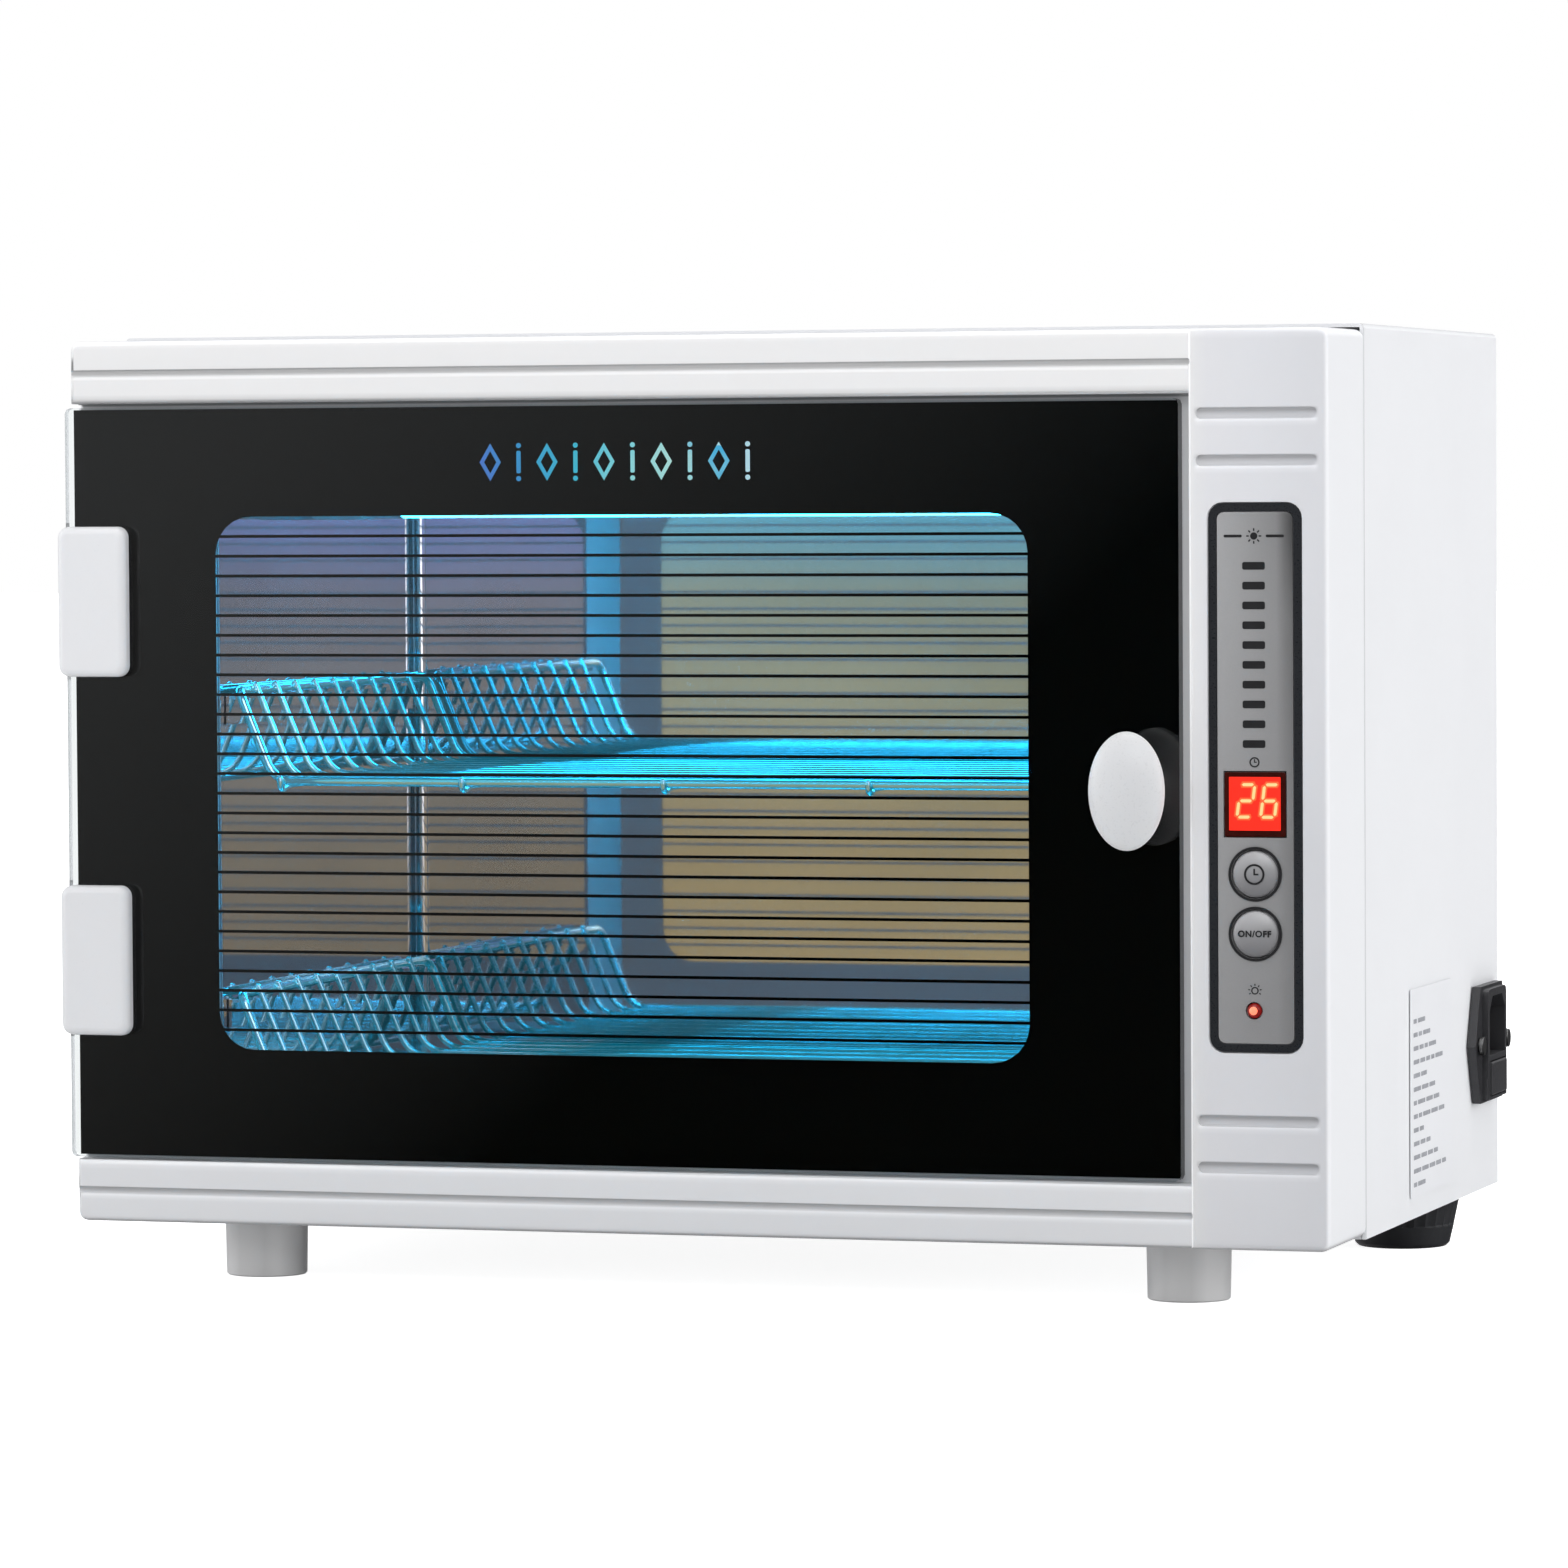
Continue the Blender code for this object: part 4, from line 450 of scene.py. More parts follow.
def foil_material():
    """Iridescent foil of the door's ornament: blue, cyan and pale green bands across its width, with a
    painted glow.
    """
    material, tree, shader = new_material("door_foil")
    left, right = 115.7, 195.9
    across = axis_value(tree, 0, x_at(left), x_at(right))
    wave = product(tree, noise(tree, 60.0, 3.0, 0.6), 0.30)
    rainbow = ramp(tree, math_node(tree, "ADD", wave, across), [
        (0.10, (0.10, 0.16, 0.60)), (0.30, (0.05, 0.30, 0.62)), (0.50, (0.06, 0.50, 0.66)),
        (0.68, (0.25, 0.66, 0.72)), (0.85, (0.50, 0.76, 0.72)), (1.0, (0.05, 0.45, 0.75)),
        (1.0, (0.55, 0.75, 0.85))])
    tree.links.new(rainbow, shader.inputs["Base Color"])
    # Painted glow: the bands are also an emission, though the foil gives no light.
    tree.links.new(rainbow, shader.inputs["Emission Color"])
    shader.inputs["Emission Strength"].default_value = 0.55
    shader.inputs["Metallic"].default_value = 0.6
    shader.inputs["Roughness"].default_value = 0.35
    return material


def glass_material():
    """Clear float glass whose faint tint drifts a little."""
    material, tree, shader = new_material("clear_glass_sheet")
    shader.inputs["Transmission Weight"].default_value = 1.0
    shader.inputs["IOR"].default_value = 1.45
    shader.inputs["Roughness"].default_value = 0.0
    drift = noise(tree, 12.0, 2.0)
    tree.links.new(ramp(tree, drift, [(0.3, (0.93, 0.97, 0.97)), (0.7, (0.95, 0.98, 0.985))]),
                   shader.inputs["Base Color"])
    return material


def print_material():
    """Black ink on the glass side; its back, seen in the chamber's mirrors, is a dull blue-grey with a faint
    painted glow.
    """
    material, tree, shader = new_material("black_print_ink")
    back = remap(tree, split_axes(tree, "Normal")[1], 0.4, 0.6)
    drift = noise(tree, 8.0, 2.0)
    front = ramp(tree, drift, [(0.3, (0.0005, 0.0005, 0.0006)), (0.7, (0.0009, 0.0009, 0.0010))])
    tree.links.new(mix_colour(tree, back, front, (0.105, 0.10, 0.11)), shader.inputs["Base Color"])
    tree.links.new(remap(tree, drift, 0.3, 0.7, 0.30, 0.40), shader.inputs["Roughness"])
    shader.inputs["Specular IOR Level"].default_value = 0.05
    # Painted glow on the back of the print.
    shader.inputs["Emission Color"].default_value = (0.92, 0.94, 1.0, 1.0)
    tree.links.new(product(tree, back, 0.125), shader.inputs["Emission Strength"])
    return material


def steel_material():
    """Mirror-polished stainless sheet, a little wavy from rolling."""
    material, tree, shader = new_material("mirror_steel_sheet")
    shader.inputs["Metallic"].default_value = 0.97
    drift = noise(tree, 9.0, 3.0)
    tree.links.new(ramp(tree, drift, [(0.3, (0.60, 0.62, 0.66)), (0.7, (0.68, 0.70, 0.73))]),
                   shader.inputs["Base Color"])
    fine = noise(tree, 160.0, 3.0, 0.6, (1.0, 1.0, 0.08))
    tree.links.new(remap(tree, fine, 0.3, 0.7, 0.025, 0.035), shader.inputs["Roughness"])
    add_relief(tree, shader, noise(tree, 9.0, 0.0, 0.4), 0.05, 0.002)
    return material


# Mesh helpers

def add_piece(name, mesh, material, body, replaces=()):
    """A new piece that rides on a CAD body."""
    piece = bpy.data.objects.new(name, mesh)
    SCENE.collection.objects.link(piece)
    mesh.materials.clear()
    mesh.materials.append(material)
    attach(piece, body)
    if replaces:
        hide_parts(*replaces)
    return piece


def add_shape(name, bm, material, body, replaces=(), sharp=38.0):
    """A piece from a bmesh, shaded smooth apart from edges sharper than an angle in degrees."""
    bmesh.ops.recalc_face_normals(bm, faces=bm.faces)
    mesh = bpy.data.meshes.new(name)
    bm.to_mesh(mesh)
    bm.free()
    mesh.shade_smooth()
    mesh.set_sharp_from_angle(angle=math.radians(sharp))
    return add_piece(name, mesh, material, body, replaces)


def soften(piece, width):
    """Small rounded edges, with normals weighted to the flat faces."""
    if width:
        bevel = piece.modifiers.new("soft_edges", "BEVEL")
        bevel.width = width
        bevel.segments = 3
        bevel.limit_method = "ANGLE"
        bevel.angle_limit = math.radians(40.0)
    weighted = piece.modifiers.new("weighted_normals", "WEIGHTED_NORMAL")
    weighted.keep_sharp = True


def dress(node_name, material, width=0.0):
    """A smooth-shaded copy of a CAD node with its coplanar triangles merged."""
    bm = bmesh.new()
    bm.from_mesh(frame["nodes"][node_name].data)
    bmesh.ops.remove_doubles(bm, verts=bm.verts, dist=0.000002)
    bmesh.ops.dissolve_limit(bm, angle_limit=math.radians(0.5), verts=bm.verts, edges=bm.edges)
    piece = add_shape(f"{node_name}_dressed", bm, material, BODY_OF[node_name],
                      (node_name,))
    soften(piece, width)
    return piece


def paint(material, *node_names):
    """Gives CAD nodes that stay as they are a finish."""
    for node_name in node_names:
        for material_slot in frame["nodes"][node_name].material_slots:
            material_slot.material = material


def angles(count):
    """Evenly spaced angles of a full turn."""
    return [math.tau * step / count for step in range(count)]


def bridge(bm, first, second):
    """Faces between two rings of the same number of points."""
    for step in range(len(first)):
        after = (step + 1) % len(first)
        bm.faces.new((first[step], first[after], second[after], second[step]))


def sides_along(points, cyclic):
    """Side and up of each point, turned as little as possible from one to the next."""
    count = len(points)
    tangents = []
    for index in range(count):
        if cyclic:
            ahead, behind = points[(index + 1) % count], points[index - 1]
        else:
            ahead, behind = points[min(index + 1, count - 1)], points[max(index - 1, 0)]
        tangents.append((ahead - behind).normalized())
    start = Vector((0, 0, 1)) if abs(tangents[0].z) < 0.9 else Vector((1, 0, 0))
    side = tangents[0].cross(start).normalized()
    rows = []
    for tangent in tangents:
        side = (side - tangent * side.dot(tangent)).normalized()
        rows.append((side, tangent.cross(side)))
    return rows


def add_tube(bm, points, radius, sides=10, cyclic=False):
    """A tube along points, with flat ends or closed on itself."""
    rings = []
    for point, (side, up) in zip(points, sides_along(points, cyclic)):
        rings.append([bm.verts.new(point + (side * math.cos(angle) + up * math.sin(angle)) * radius)
                      for angle in angles(sides)])
    for first, second in zip(rings, rings[1:]):
        bridge(bm, first, second)
    if cyclic:
        bridge(bm, rings[-1], rings[0])
    else:
        bm.faces.new(list(reversed(rings[0])))
        bm.faces.new(rings[-1])


def add_ball(bm, centre, radius, stretch=(1.0, 1.0, 1.0)):
    matrix = Matrix.Translation(centre) @ Matrix.Diagonal((*stretch, 1.0))
    bmesh.ops.create_uvsphere(bm, u_segments=10, v_segments=6, radius=radius, matrix=matrix)


def bend(before, corner, after, radius, steps=6):
    """Points of a round bend that replaces a sharp corner."""
    start = corner + (before - corner).normalized() * radius
    end = corner + (after - corner).normalized() * radius
    return [start * (1 - t) ** 2 + corner * 2 * t * (1 - t) + end * t ** 2
            for t in (step / steps for step in range(steps + 1))]


def join_ovals(bm, x, z, ovals, sides):
    """A skin over ovals (half width, half height, y) round one line in depth; a width of 0 is a pole."""
    rings = []
    for half_x, half_z, y in ovals:
        rings.append([bm.verts.new((x + half_x * math.cos(angle), y, z + half_z * math.sin(angle)))
                      for angle in (angles(sides) if half_x else (0.0,))])
    for first, second in zip(rings, rings[1:]):
        for step in range(sides):
            after = (step + 1) % sides
            corners = (first[step % len(first)], first[after % len(first)],
                       second[after % len(second)], second[step % len(second)])
            bm.faces.new(list(dict.fromkeys(corners)))
    return rings[-1]


def flat_shape(bm, outline, front, back, hole=None):
    """A plate in X and Z from an outline in millimetres; a hole has as many points as the outline."""
    if hole:
        rings = [[bm.verts.new(at(x, y, z)) for x, z in ring]
                 for ring, y in ((outline, front), (hole, front), (hole, back), (outline, back))]
        for first, second in zip(rings, rings[1:] + rings[:1]):
            bridge(bm, first, second)
        return
    near, far = ([bm.verts.new(at(x, y, z)) for x, z in outline] for y in (front, back))
    bm.faces.new(near)
    bm.faces.new(list(reversed(far)))
    bridge(bm, near, far)


def circle(x, z, radius, count=40):
    return [(x + radius * math.cos(angle), z + radius * math.sin(angle)) for angle in angles(count)]


def rectangle(x0, z0, x1, z1, radius, steps=5):
    """Outline of a rectangle with round corners."""
    points = []
    for cx, cz, start in ((x1 - radius, z0 + radius, -90), (x1 - radius, z1 - radius, 0),
                          (x0 + radius, z1 - radius, 90), (x0 + radius, z0 + radius, 180)):
        for step in range(steps + 1):
            angle = math.radians(start + 90 * step / steps)
            points.append((cx + radius * math.cos(angle), cz + radius * math.sin(angle)))
    return points


def stroke(x0, z0, x1, z1, width):
    """Outline of a bar between two places."""
    dx, dz = x1 - x0, z1 - z0
    length = math.hypot(dx, dz)
    nx, nz = -dz / length * width / 2, dx / length * width / 2
    return [(x0 - nx, z0 - nz), (x1 - nx, z1 - nz), (x1 + nx, z1 + nz), (x0 + nx, z0 + nz)]


# Camera, floor, world and lamps

def make_camera():
    """The photo's viewpoint, fitted from the edges of the cabinet."""
    place = at(792.966, -1881.047, 200.097)
    yaw, tilt, roll = (math.radians(angle) for angle in (17.4173, 90.0 - 2.3152, -0.3473))
    data = bpy.data.cameras.new("camera")
    data.lens = 171.79
    data.sensor_width = 36.0
    data.clip_end = 20.0
    camera = bpy.data.objects.new("camera", data)
    SCENE.collection.objects.link(camera)
    turn = Matrix.Rotation(yaw, 4, "Z") @ Matrix.Rotation(tilt, 4, "X") @ Matrix.Rotation(roll, 4, "Z")
    camera.matrix_world = Matrix.Translation(place) @ turn
    SCENE.camera = camera


def studio_light(tree, x, y, z):
    """What glossy surfaces outside the chamber see: dark low on the right, white above, grey behind."""
    leftward = remap(tree, math_node(tree, "SUBTRACT", z, x), 0.245, 0.645)
    studio = ramp(tree, leftward, [(0.0, (0.001, 0.001, 0.001)), (0.33, (0.35, 0.35, 0.35)),
                                   (0.85, (0.75, 0.75, 0.77))])
    studio = mix_colour(tree, remap(tree, z, 0.10, 0.60), studio, WHITE_TINT)
    behind = product(tree, remap(tree, y, 0.20, 0.45), remap(tree, x, 0.05, 0.20, 1.0, 0.0))
    return mix_colour(tree, behind, studio, (0.60, 0.60, 0.62))


def room_light(tree, direction, x, z):
    """What the chamber's mirrors see out of the door: warm low down, blue above, with one bright strip."""
    fall = remap(tree, z, -0.070, -0.006)
    right = ramp(tree, fall, [
        (0.0, (0.64, 0.45, 0.22)), (0.40, (0.62, 0.45, 0.23)), (0.62, (0.62, 0.56, 0.36)),
        (0.84, (0.60, 0.60, 0.42)), (1.0, (0.30, 0.80, 1.0))])
    left = ramp(tree, fall, [
        (0.0, (0.61, 0.43, 0.26)), (0.40, (0.57, 0.42, 0.28)), (0.62, (0.52, 0.42, 0.37)),
        (0.86, (0.50, 0.41, 0.42)), (1.0, (0.46, 0.50, 0.95))])
    room = mix_colour(tree, remap(tree, x, -0.05, 0.05), right, left)
    cloud = noise(tree, 16.0, 2.0, source=direction)
    room = tint(tree, room, grey_ramp(tree, cloud, [(0.35, 0.72), (0.65, 1.0)]))
    strip = product(tree, remap(tree, x, 0.48, 0.52), remap(tree, x, 0.70, 0.74, 1.0, 0.0))
    strip = product(tree, strip, remap(tree, z, -0.055, -0.030, 0.15, 1.0))
    return mix_colour(tree, strip, room, (2.6, 2.3, 2.3))


def make_world():
    """White to the camera, a soft studio for glossy surfaces and a dim room for the chamber's mirrors."""
    world = bpy.data.worlds.new("studio")
    SCENE.world = world
    world.use_nodes = True
    tree = world.node_tree
    path = node(tree, "ShaderNodeLightPath").outputs
    is_transmission = path["Is Transmission Ray"]
    direction = node(tree, "ShaderNodeTexCoord").outputs["Generated"]
    x, y, z = split(tree, direction)
    through_glass = math_node(tree, "GREATER_THAN", path["Transmission Depth"], 2.5)
    mirrored = math_node(tree, "GREATER_THAN", path["Glossy Depth"], 0.5)
    scattered = math_node(tree, "GREATER_THAN", path["Diffuse Depth"], 0.5)
    glossy = mix_colour(tree, product(tree, through_glass, mirrored), studio_light(tree, x, y, z),
                        room_light(tree, direction, x, z))
    seen = mix_colour(tree, either(tree, path["Is Glossy Ray"], is_transmission), (0.65, 0.65, 0.66), glossy)
    seen = mix_colour(tree, product(tree, is_transmission, scattered), seen, (0.20, 0.22, 0.25))
    unbent = math_node(tree, "SUBTRACT", 1.0, either(tree, mirrored, scattered))
    straight = either(tree, product(tree, is_transmission, unbent), path["Is Camera Ray"])
    background = tree.nodes["Background"]
    tree.links.new(mix_colour(tree, straight, seen, WHITE_TINT), background.inputs["Color"])
    background.inputs["Strength"].default_value = 1.0


def make_floor():
    """A wide pale floor that shows white to the camera but keeps a faint shadow."""
    bm = bmesh.new()
    bmesh.ops.create_grid(bm, x_segments=1, y_segments=1, size=12.0)
    mesh = bpy.data.meshes.new("floor")
    bm.to_mesh(mesh)
    bm.free()
    floor = bpy.data.objects.new("floor", mesh)
    SCENE.collection.objects.link(floor)
    floor.visible_glossy = False
    floor.visible_transmission = False
    material, tree, shader = new_material("pale_floor")
    shader.inputs["Base Color"].default_value = (0.80, 0.80, 0.80, 1.0)
    shader.inputs["Roughness"].default_value = 1.0
    shader.inputs["Specular IOR Level"].default_value = 0.0
    lift = product(tree, node(tree, "ShaderNodeLightPath").outputs["Is Camera Ray"], 0.89)
    shader.inputs["Emission Color"].default_value = (1.0, 1.0, 1.0, 1.0)
    tree.links.new(lift, shader.inputs["Emission Strength"])
    mesh.materials.append(material)


def make_lamp(name, place, target, size, power):
    """A rectangular area lamp turned to a target."""
    data = bpy.data.lights.new(name, "AREA")
    data.shape = "RECTANGLE"
    data.size, data.size_y = size
    data.energy = power
    lamp = bpy.data.objects.new(name, data)
    SCENE.collection.objects.link(lamp)
    lamp.location = place
    lamp.rotation_euler = (Vector(target) - Vector(place)).to_track_quat("-Z", "Y").to_euler()
    lamp.visible_camera = False


make_camera()
make_world()
make_floor()
make_lamp("top_lamp", (0.1, 0.0, 1.9), (0.0, 0.0, 0.2), (1.6, 1.2), 16.0)
make_lamp("right_lamp", (2.0, 0.3, 0.7), (0.1, 0.0, 0.12), (1.2, 1.2), 13.5)
make_lamp("front_lamp", (0.5, -2.2, 1.3), (0.0, 0.0, 0.12), (1.2, 0.8), 7.3)
make_lamp("left_lamp", (-2.1, -0.7, 0.7), (-0.1, 0.0, 0.12), (1.0, 1.0), 8.0)

# Finishes

FRAME_WHITE = frame_material()
WHITE = surface("white_moulded", (0.78, 0.785, 0.80), 0.34, spread=0.012, grain=1600.0, bump=0.06,
                depth=0.00004)
# The two clips are copies of one white in painted light and shade: the lower one darker.
CLIP_WHITE = {level: surface(f"clip_white_{level}", scaled((0.855, 0.862, 0.88), tone), 0.32, spread=0.012,
                             grain=1600.0, depth=0.00004)
              for level, tone in (("upper", 0.985), ("lower", 0.91))}
KNOB_WHITE = knob_material()
FOOT_SHADED_WHITE = foot_material()
POWDER = surface("powder_coat", (0.88, 0.89, 0.91), 0.42, spread=0.012, grain=750.0, bump=0.10, depth=0.00008)
SHELL = shell_material()
BLACK_PRINT = print_material()
BLACK = surface("black_moulded", (0.022, 0.022, 0.025), 0.38, spread=0.15, grain=1400.0, bump=0.12,
                depth=0.00006)
INLET_BLACK = surface("inlet_black", (0.035, 0.035, 0.039), 0.42, spread=0.12, grain=1400.0, bump=0.12,
                      depth=0.00006)
BORDER = surface("border_ink", (0.016, 0.018, 0.022), 0.30, spread=0.12, grain=2500.0, bump=0.03)
RUBBER = surface("foot_rubber", (0.030, 0.031, 0.035), 0.55, spread=0.2, grain=1100.0, bump=0.2, depth=0.0001)
CHROME = chrome_material()
DARK_SCREW = metal("screw_dark", (0.16, 0.16, 0.16), 0.35, 0.15)
PLATED = metal("nickel_plate", (0.62, 0.61, 0.59), 0.28, 0.08)
BRASS = metal("pin_plate", (0.72, 0.68, 0.58), 0.22, 0.06, bump=0.04)
ALUMINIUM = metal("cap_metal", (0.70, 0.70, 0.71), 0.32, 0.06, patch=120.0)
BOARD = surface("board_green", (0.02, 0.13, 0.05), 0.45, spread=0.25, patch=300.0, grain=1500.0, bump=0.08)
WIRE_JACKET = surface("wire_jacket_pale", (0.70, 0.70, 0.67), 0.45, patch=80.0, spread=0.05, grain=1500.0,
                      bump=0.08)
LABEL = surface("label_paper", (0.875, 0.885, 0.91), 0.40, spread=0.015, patch=30.0, grain=1800.0, bump=0.03)
LABEL_INK = surface("label_ink", (0.36, 0.37, 0.40), 0.50, spread=0.2, patch=600.0, grain=2500.0, bump=0.02)
INK = surface("panel_ink", (0.012, 0.012, 0.014), 0.40, spread=0.2, patch=400.0, grain=3000.0, bump=0.02)
LENS = surface("lens_maroon", (0.045, 0.006, 0.004), 0.12, spread=0.2, patch=300.0, grain=2500.0, bump=0.01,
               rough_spread=0.03)
LED_RED = surface("led_red", (0.30, 0.008, 0.006), 0.15, spread=0.15, patch=500.0, grain=2500.0, bump=0.01,
                  rough_spread=0.03)
PANEL = panel_material()
BUTTON = button_material()
FOIL = foil_material()
GLASS = glass_material()
STEEL = steel_material()
LAMP_GLOW = glowing("lamp_glow", (0.030, 0.56, 1.0), 21.0)
DISPLAY_GLOW = glowing("display_glow", (1.0, 0.020, 0.006), 0.95, 0.90)
HALO = glowing("digit_halo", (1.0, 0.11, 0.03), 1.1)
DIGIT = glowing("digit_core", (1.0, 0.48, 0.20), 1.25)
LED_GLOW = glowing("led_glow", (1.0, 0.22, 0.12), 1.4)

# Frame, body and chamber

LEVELS, SIDES = ("upper", "lower"), ("left", "right")


def make_liner():
    """The chamber liner, with its two upright back corners bent round as sheet metal is."""
    piece = dress("chamber_liner", STEEL)
    left, right, back = x_at(28.3), x_at(284.7), y_at(197.2)
    near = 0.0003
    bm = bmesh.new()
    bm.from_mesh(piece.data)
    weights = bm.edges.layers.float.new("bevel_weight_edge")
    for edge in bm.edges:
        first, second = (vert.co for vert in edge.verts)
        upright = abs(first.z - second.z) > 0.1
        beside = min(abs(first.x - left), abs(first.x - right)) < near
        if upright and beside and abs(first.y - back) < near:
            edge[weights] = 1.0
    bm.to_mesh(piece.data)
    bm.free()
    piece.modifiers.clear()
    bevel = piece.modifiers.new("bent_corners", "BEVEL")
    bevel.limit_method = "WEIGHT"
    bevel.width = 0.0085
    bevel.segments = 14
    soften(piece, 0.0)


dress("front_frame", FRAME_WHITE)
dress("outer_shell", SHELL)
dress("base_plate", POWDER)
dress("rear_cover", POWDER, 0.0002)
make_liner()
for corner in ("upper_left", "upper_right", "lower_left", "lower_right"):
    dress(f"basket_runner_{corner}", STEEL, 0.0001)
for corner in ("lower_left", "lower_right", "upper_left", "upper_right"):
    dress(f"rear_screw_{corner}", PLATED, 0.0003)

# Door

dress("door_glass", GLASS)
dress("door_print", BLACK_PRINT)
for level in LEVELS:
    dress(f"hinge_clip_{level}", CLIP_WHITE[level])
    dress(f"hinge_bracket_{level}", PLATED, 0.0002)
    dress(f"hinge_pin_{level}", PLATED)
dress("knob_screw", PLATED, 0.0002)
dress("door_magnet", PLATED, 0.0002)
paint(BLACK, "door_switch")
paint(WHITE, "door_switch_plunger")


def make_knob():
    """The oval knob: a dome with a thin rim, drawn in to a flared stem."""
    low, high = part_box("door_knob")
    half_x, half_z = (high.x - low.x) / 2, (high.z - low.z) / 2
    quarter = [math.pi / 2 * step / 12 for step in range(13)]
    dome = [(math.sin(angle), 0.0046 * (1 - math.cos(angle) ** 0.9)) for angle in quarter]
    rim = [(0.995, 0.0051), (0.96, 0.0057), (0.86, 0.0067), (0.70, 0.0080), (0.52, 0.0093)]
    stem = [(0.0050, low.y + 0.0105), (0.0046, low.y + 0.0130), (0.0048, high.y - 0.0022), (0.0056, high.y)]
    ovals = [(half_x * reach, half_z * reach, low.y + depth) for reach, depth in dome + rim]
    ovals += [(radius, radius, y) for radius, y in stem]
    bm = bmesh.new()
    end = join_ovals(bm, (low.x + high.x) / 2, (low.z + high.z) / 2, ovals, 64)
    bm.faces.new(list(reversed(end)))
    add_shape("door_knob_dome", bm, KNOB_WHITE, "door", ("door_knob",), 60.0)


def make_door_ornament():
    """Ten small iridescent figures on the back of the glass, where the door has its heading."""
    front, back = 5.90, 5.98
    first, pitch, z = 119.7, 8.02, 205.7
    bm = bmesh.new()
    for index in range(10):
        x = first + pitch * index
        if index % 2 == 0:
            outer, inner = ([(x - half, z), (x, z - rise), (x + half, z), (x, z + rise)]
                            for half, rise in ((3.0, 5.0), (1.75, 3.0)))
            flat_shape(bm, outer, front, back, inner)
        else:
            flat_shape(bm, rectangle(x - 0.6, z - 3.0, x + 0.6, z + 3.0, 0.4), front, back)
            for dot in (z + 4.4, z - 4.4):
                flat_shape(bm, circle(x, dot, 0.7, 16), front, back)
    add_shape("door_ornament", bm, FOIL, "door")


make_knob()
make_door_ornament()

# Baskets

def basket_line(y, rim_half, rim, floor):
    """One U-shaped wire, from the left rim down, across and up to the right rim."""
    foot = RIM_HALF - 12.0
    corners = [at(BASKET_CENTRE + aside, y, z)
               for aside, z in ((-rim_half, rim), (-foot, floor), (foot, floor), (rim_half, rim))]
    return [corners[0], *bend(*corners[:3], 0.006), *bend(*corners[1:], 0.006), corners[3]]


def make_basket(level, floor):
    """A chrome wire basket: rim and end rods in one loop, cross wires, long wires, hooks and weld beads."""
    rod, wire, corner = 0.0013, 0.0009, 0.004
    rim = floor + BASKET_HEIGHT
    bm = bmesh.new()
    front, back = (basket_line(y, RIM_HALF - RIM_INSET, rim, floor) for y in (BASKET_FRONT, BASKET_BACK))
    aside, inward = Vector((RIM_INSET * MM, 0.0, 0.0)), Vector((0.0, 0.008, 0.0))
    right_front, right_back = front[-1] + aside + inward, back[-1] + aside - inward
    left_front, left_back = front[0] - aside + inward, back[0] - aside - inward
    loop = front[1:-1] + bend(front[-2], front[-1], right_front, corner) + [right_front, right_back]
    loop += bend(right_back, back[-1], back[-2], corner) + list(reversed(back[1:-1]))
    loop += bend(back[1], back[0], left_back, corner) + [left_back, left_front]
    loop += bend(left_front, front[0], front[1], corner)
    add_tube(bm, loop, rod, 12, cyclic=True)
    cross_wires = 9
    pitch = (BASKET_BACK - BASKET_FRONT) / (cross_wires + 1)
    for index in range(cross_wires):
        line = basket_line(BASKET_FRONT + pitch * (index + 1), RIM_HALF - 1.0, rim + 1.0, floor + 0.2)
        add_tube(bm, line, wire)
        for end in (line[0], line[-1]):
            add_ball(bm, end, 0.00095)
            add_ball(bm, end - Vector((0.0, 0.0, 0.0012)), 0.0012, (1.0, 1.1, 0.8))
    hook_radius = 2.2
    for across in (-111.0, -58.0, 0.0, 58.0, 111.0):
        x, z = BASKET_CENTRE + across, floor - 1.1
        hook = [at(x, BASKET_FRONT + hook_radius * math.cos(angle), floor - hook_radius * math.sin(angle))
                for angle in (math.radians(step) for step in range(90, 200, 18))]
        straight = [at(x, BASKET_BACK + 1.6, z), at(x, BASKET_FRONT + 6.0, z),
                    at(x, BASKET_FRONT + 2.5, z - 0.5)]
        add_tube(bm, straight + hook, wire)
        add_ball(bm, hook[-1], wire)
    basket = f"{level}_basket"
    add_shape(f"{basket}_wires", bm, CHROME, basket, (basket,), 60.0)


make_basket("lower", 34.6)
make_basket("upper", 118.5)

# Lamp and supply

dress("uv_lamp_tube", LAMP_GLOW)
for side in SIDES:
    dress(f"lamp_cap_{side}", ALUMINIUM)
    dress(f"lamp_holder_{side}", WHITE)
    paint(WIRE_JACKET, f"lamp_wire_{side}")
paint(WIRE_JACKET, "mains_wire")
paint(BLACK, "ballast", "time_switch", "power_switch", "display_module")
paint(BOARD, "control_board")

# Control panel

dress("panel_border", BORDER, 0.00012)
dress("control_overlay", PANEL)
dress("display_lens", LENS, 0.0001)
dress("power_led", LED_RED)
dress("time_button", BUTTON)
dress("power_button", BUTTON)

PANEL_FACE = 0.40
INK_FRONT, INK_BACK = PANEL_FACE - 0.06, PANEL_FACE + 0.02
BUTTON_X, TIME_LEVEL, POWER_LEVEL = 330.4, 97.8, 82.3


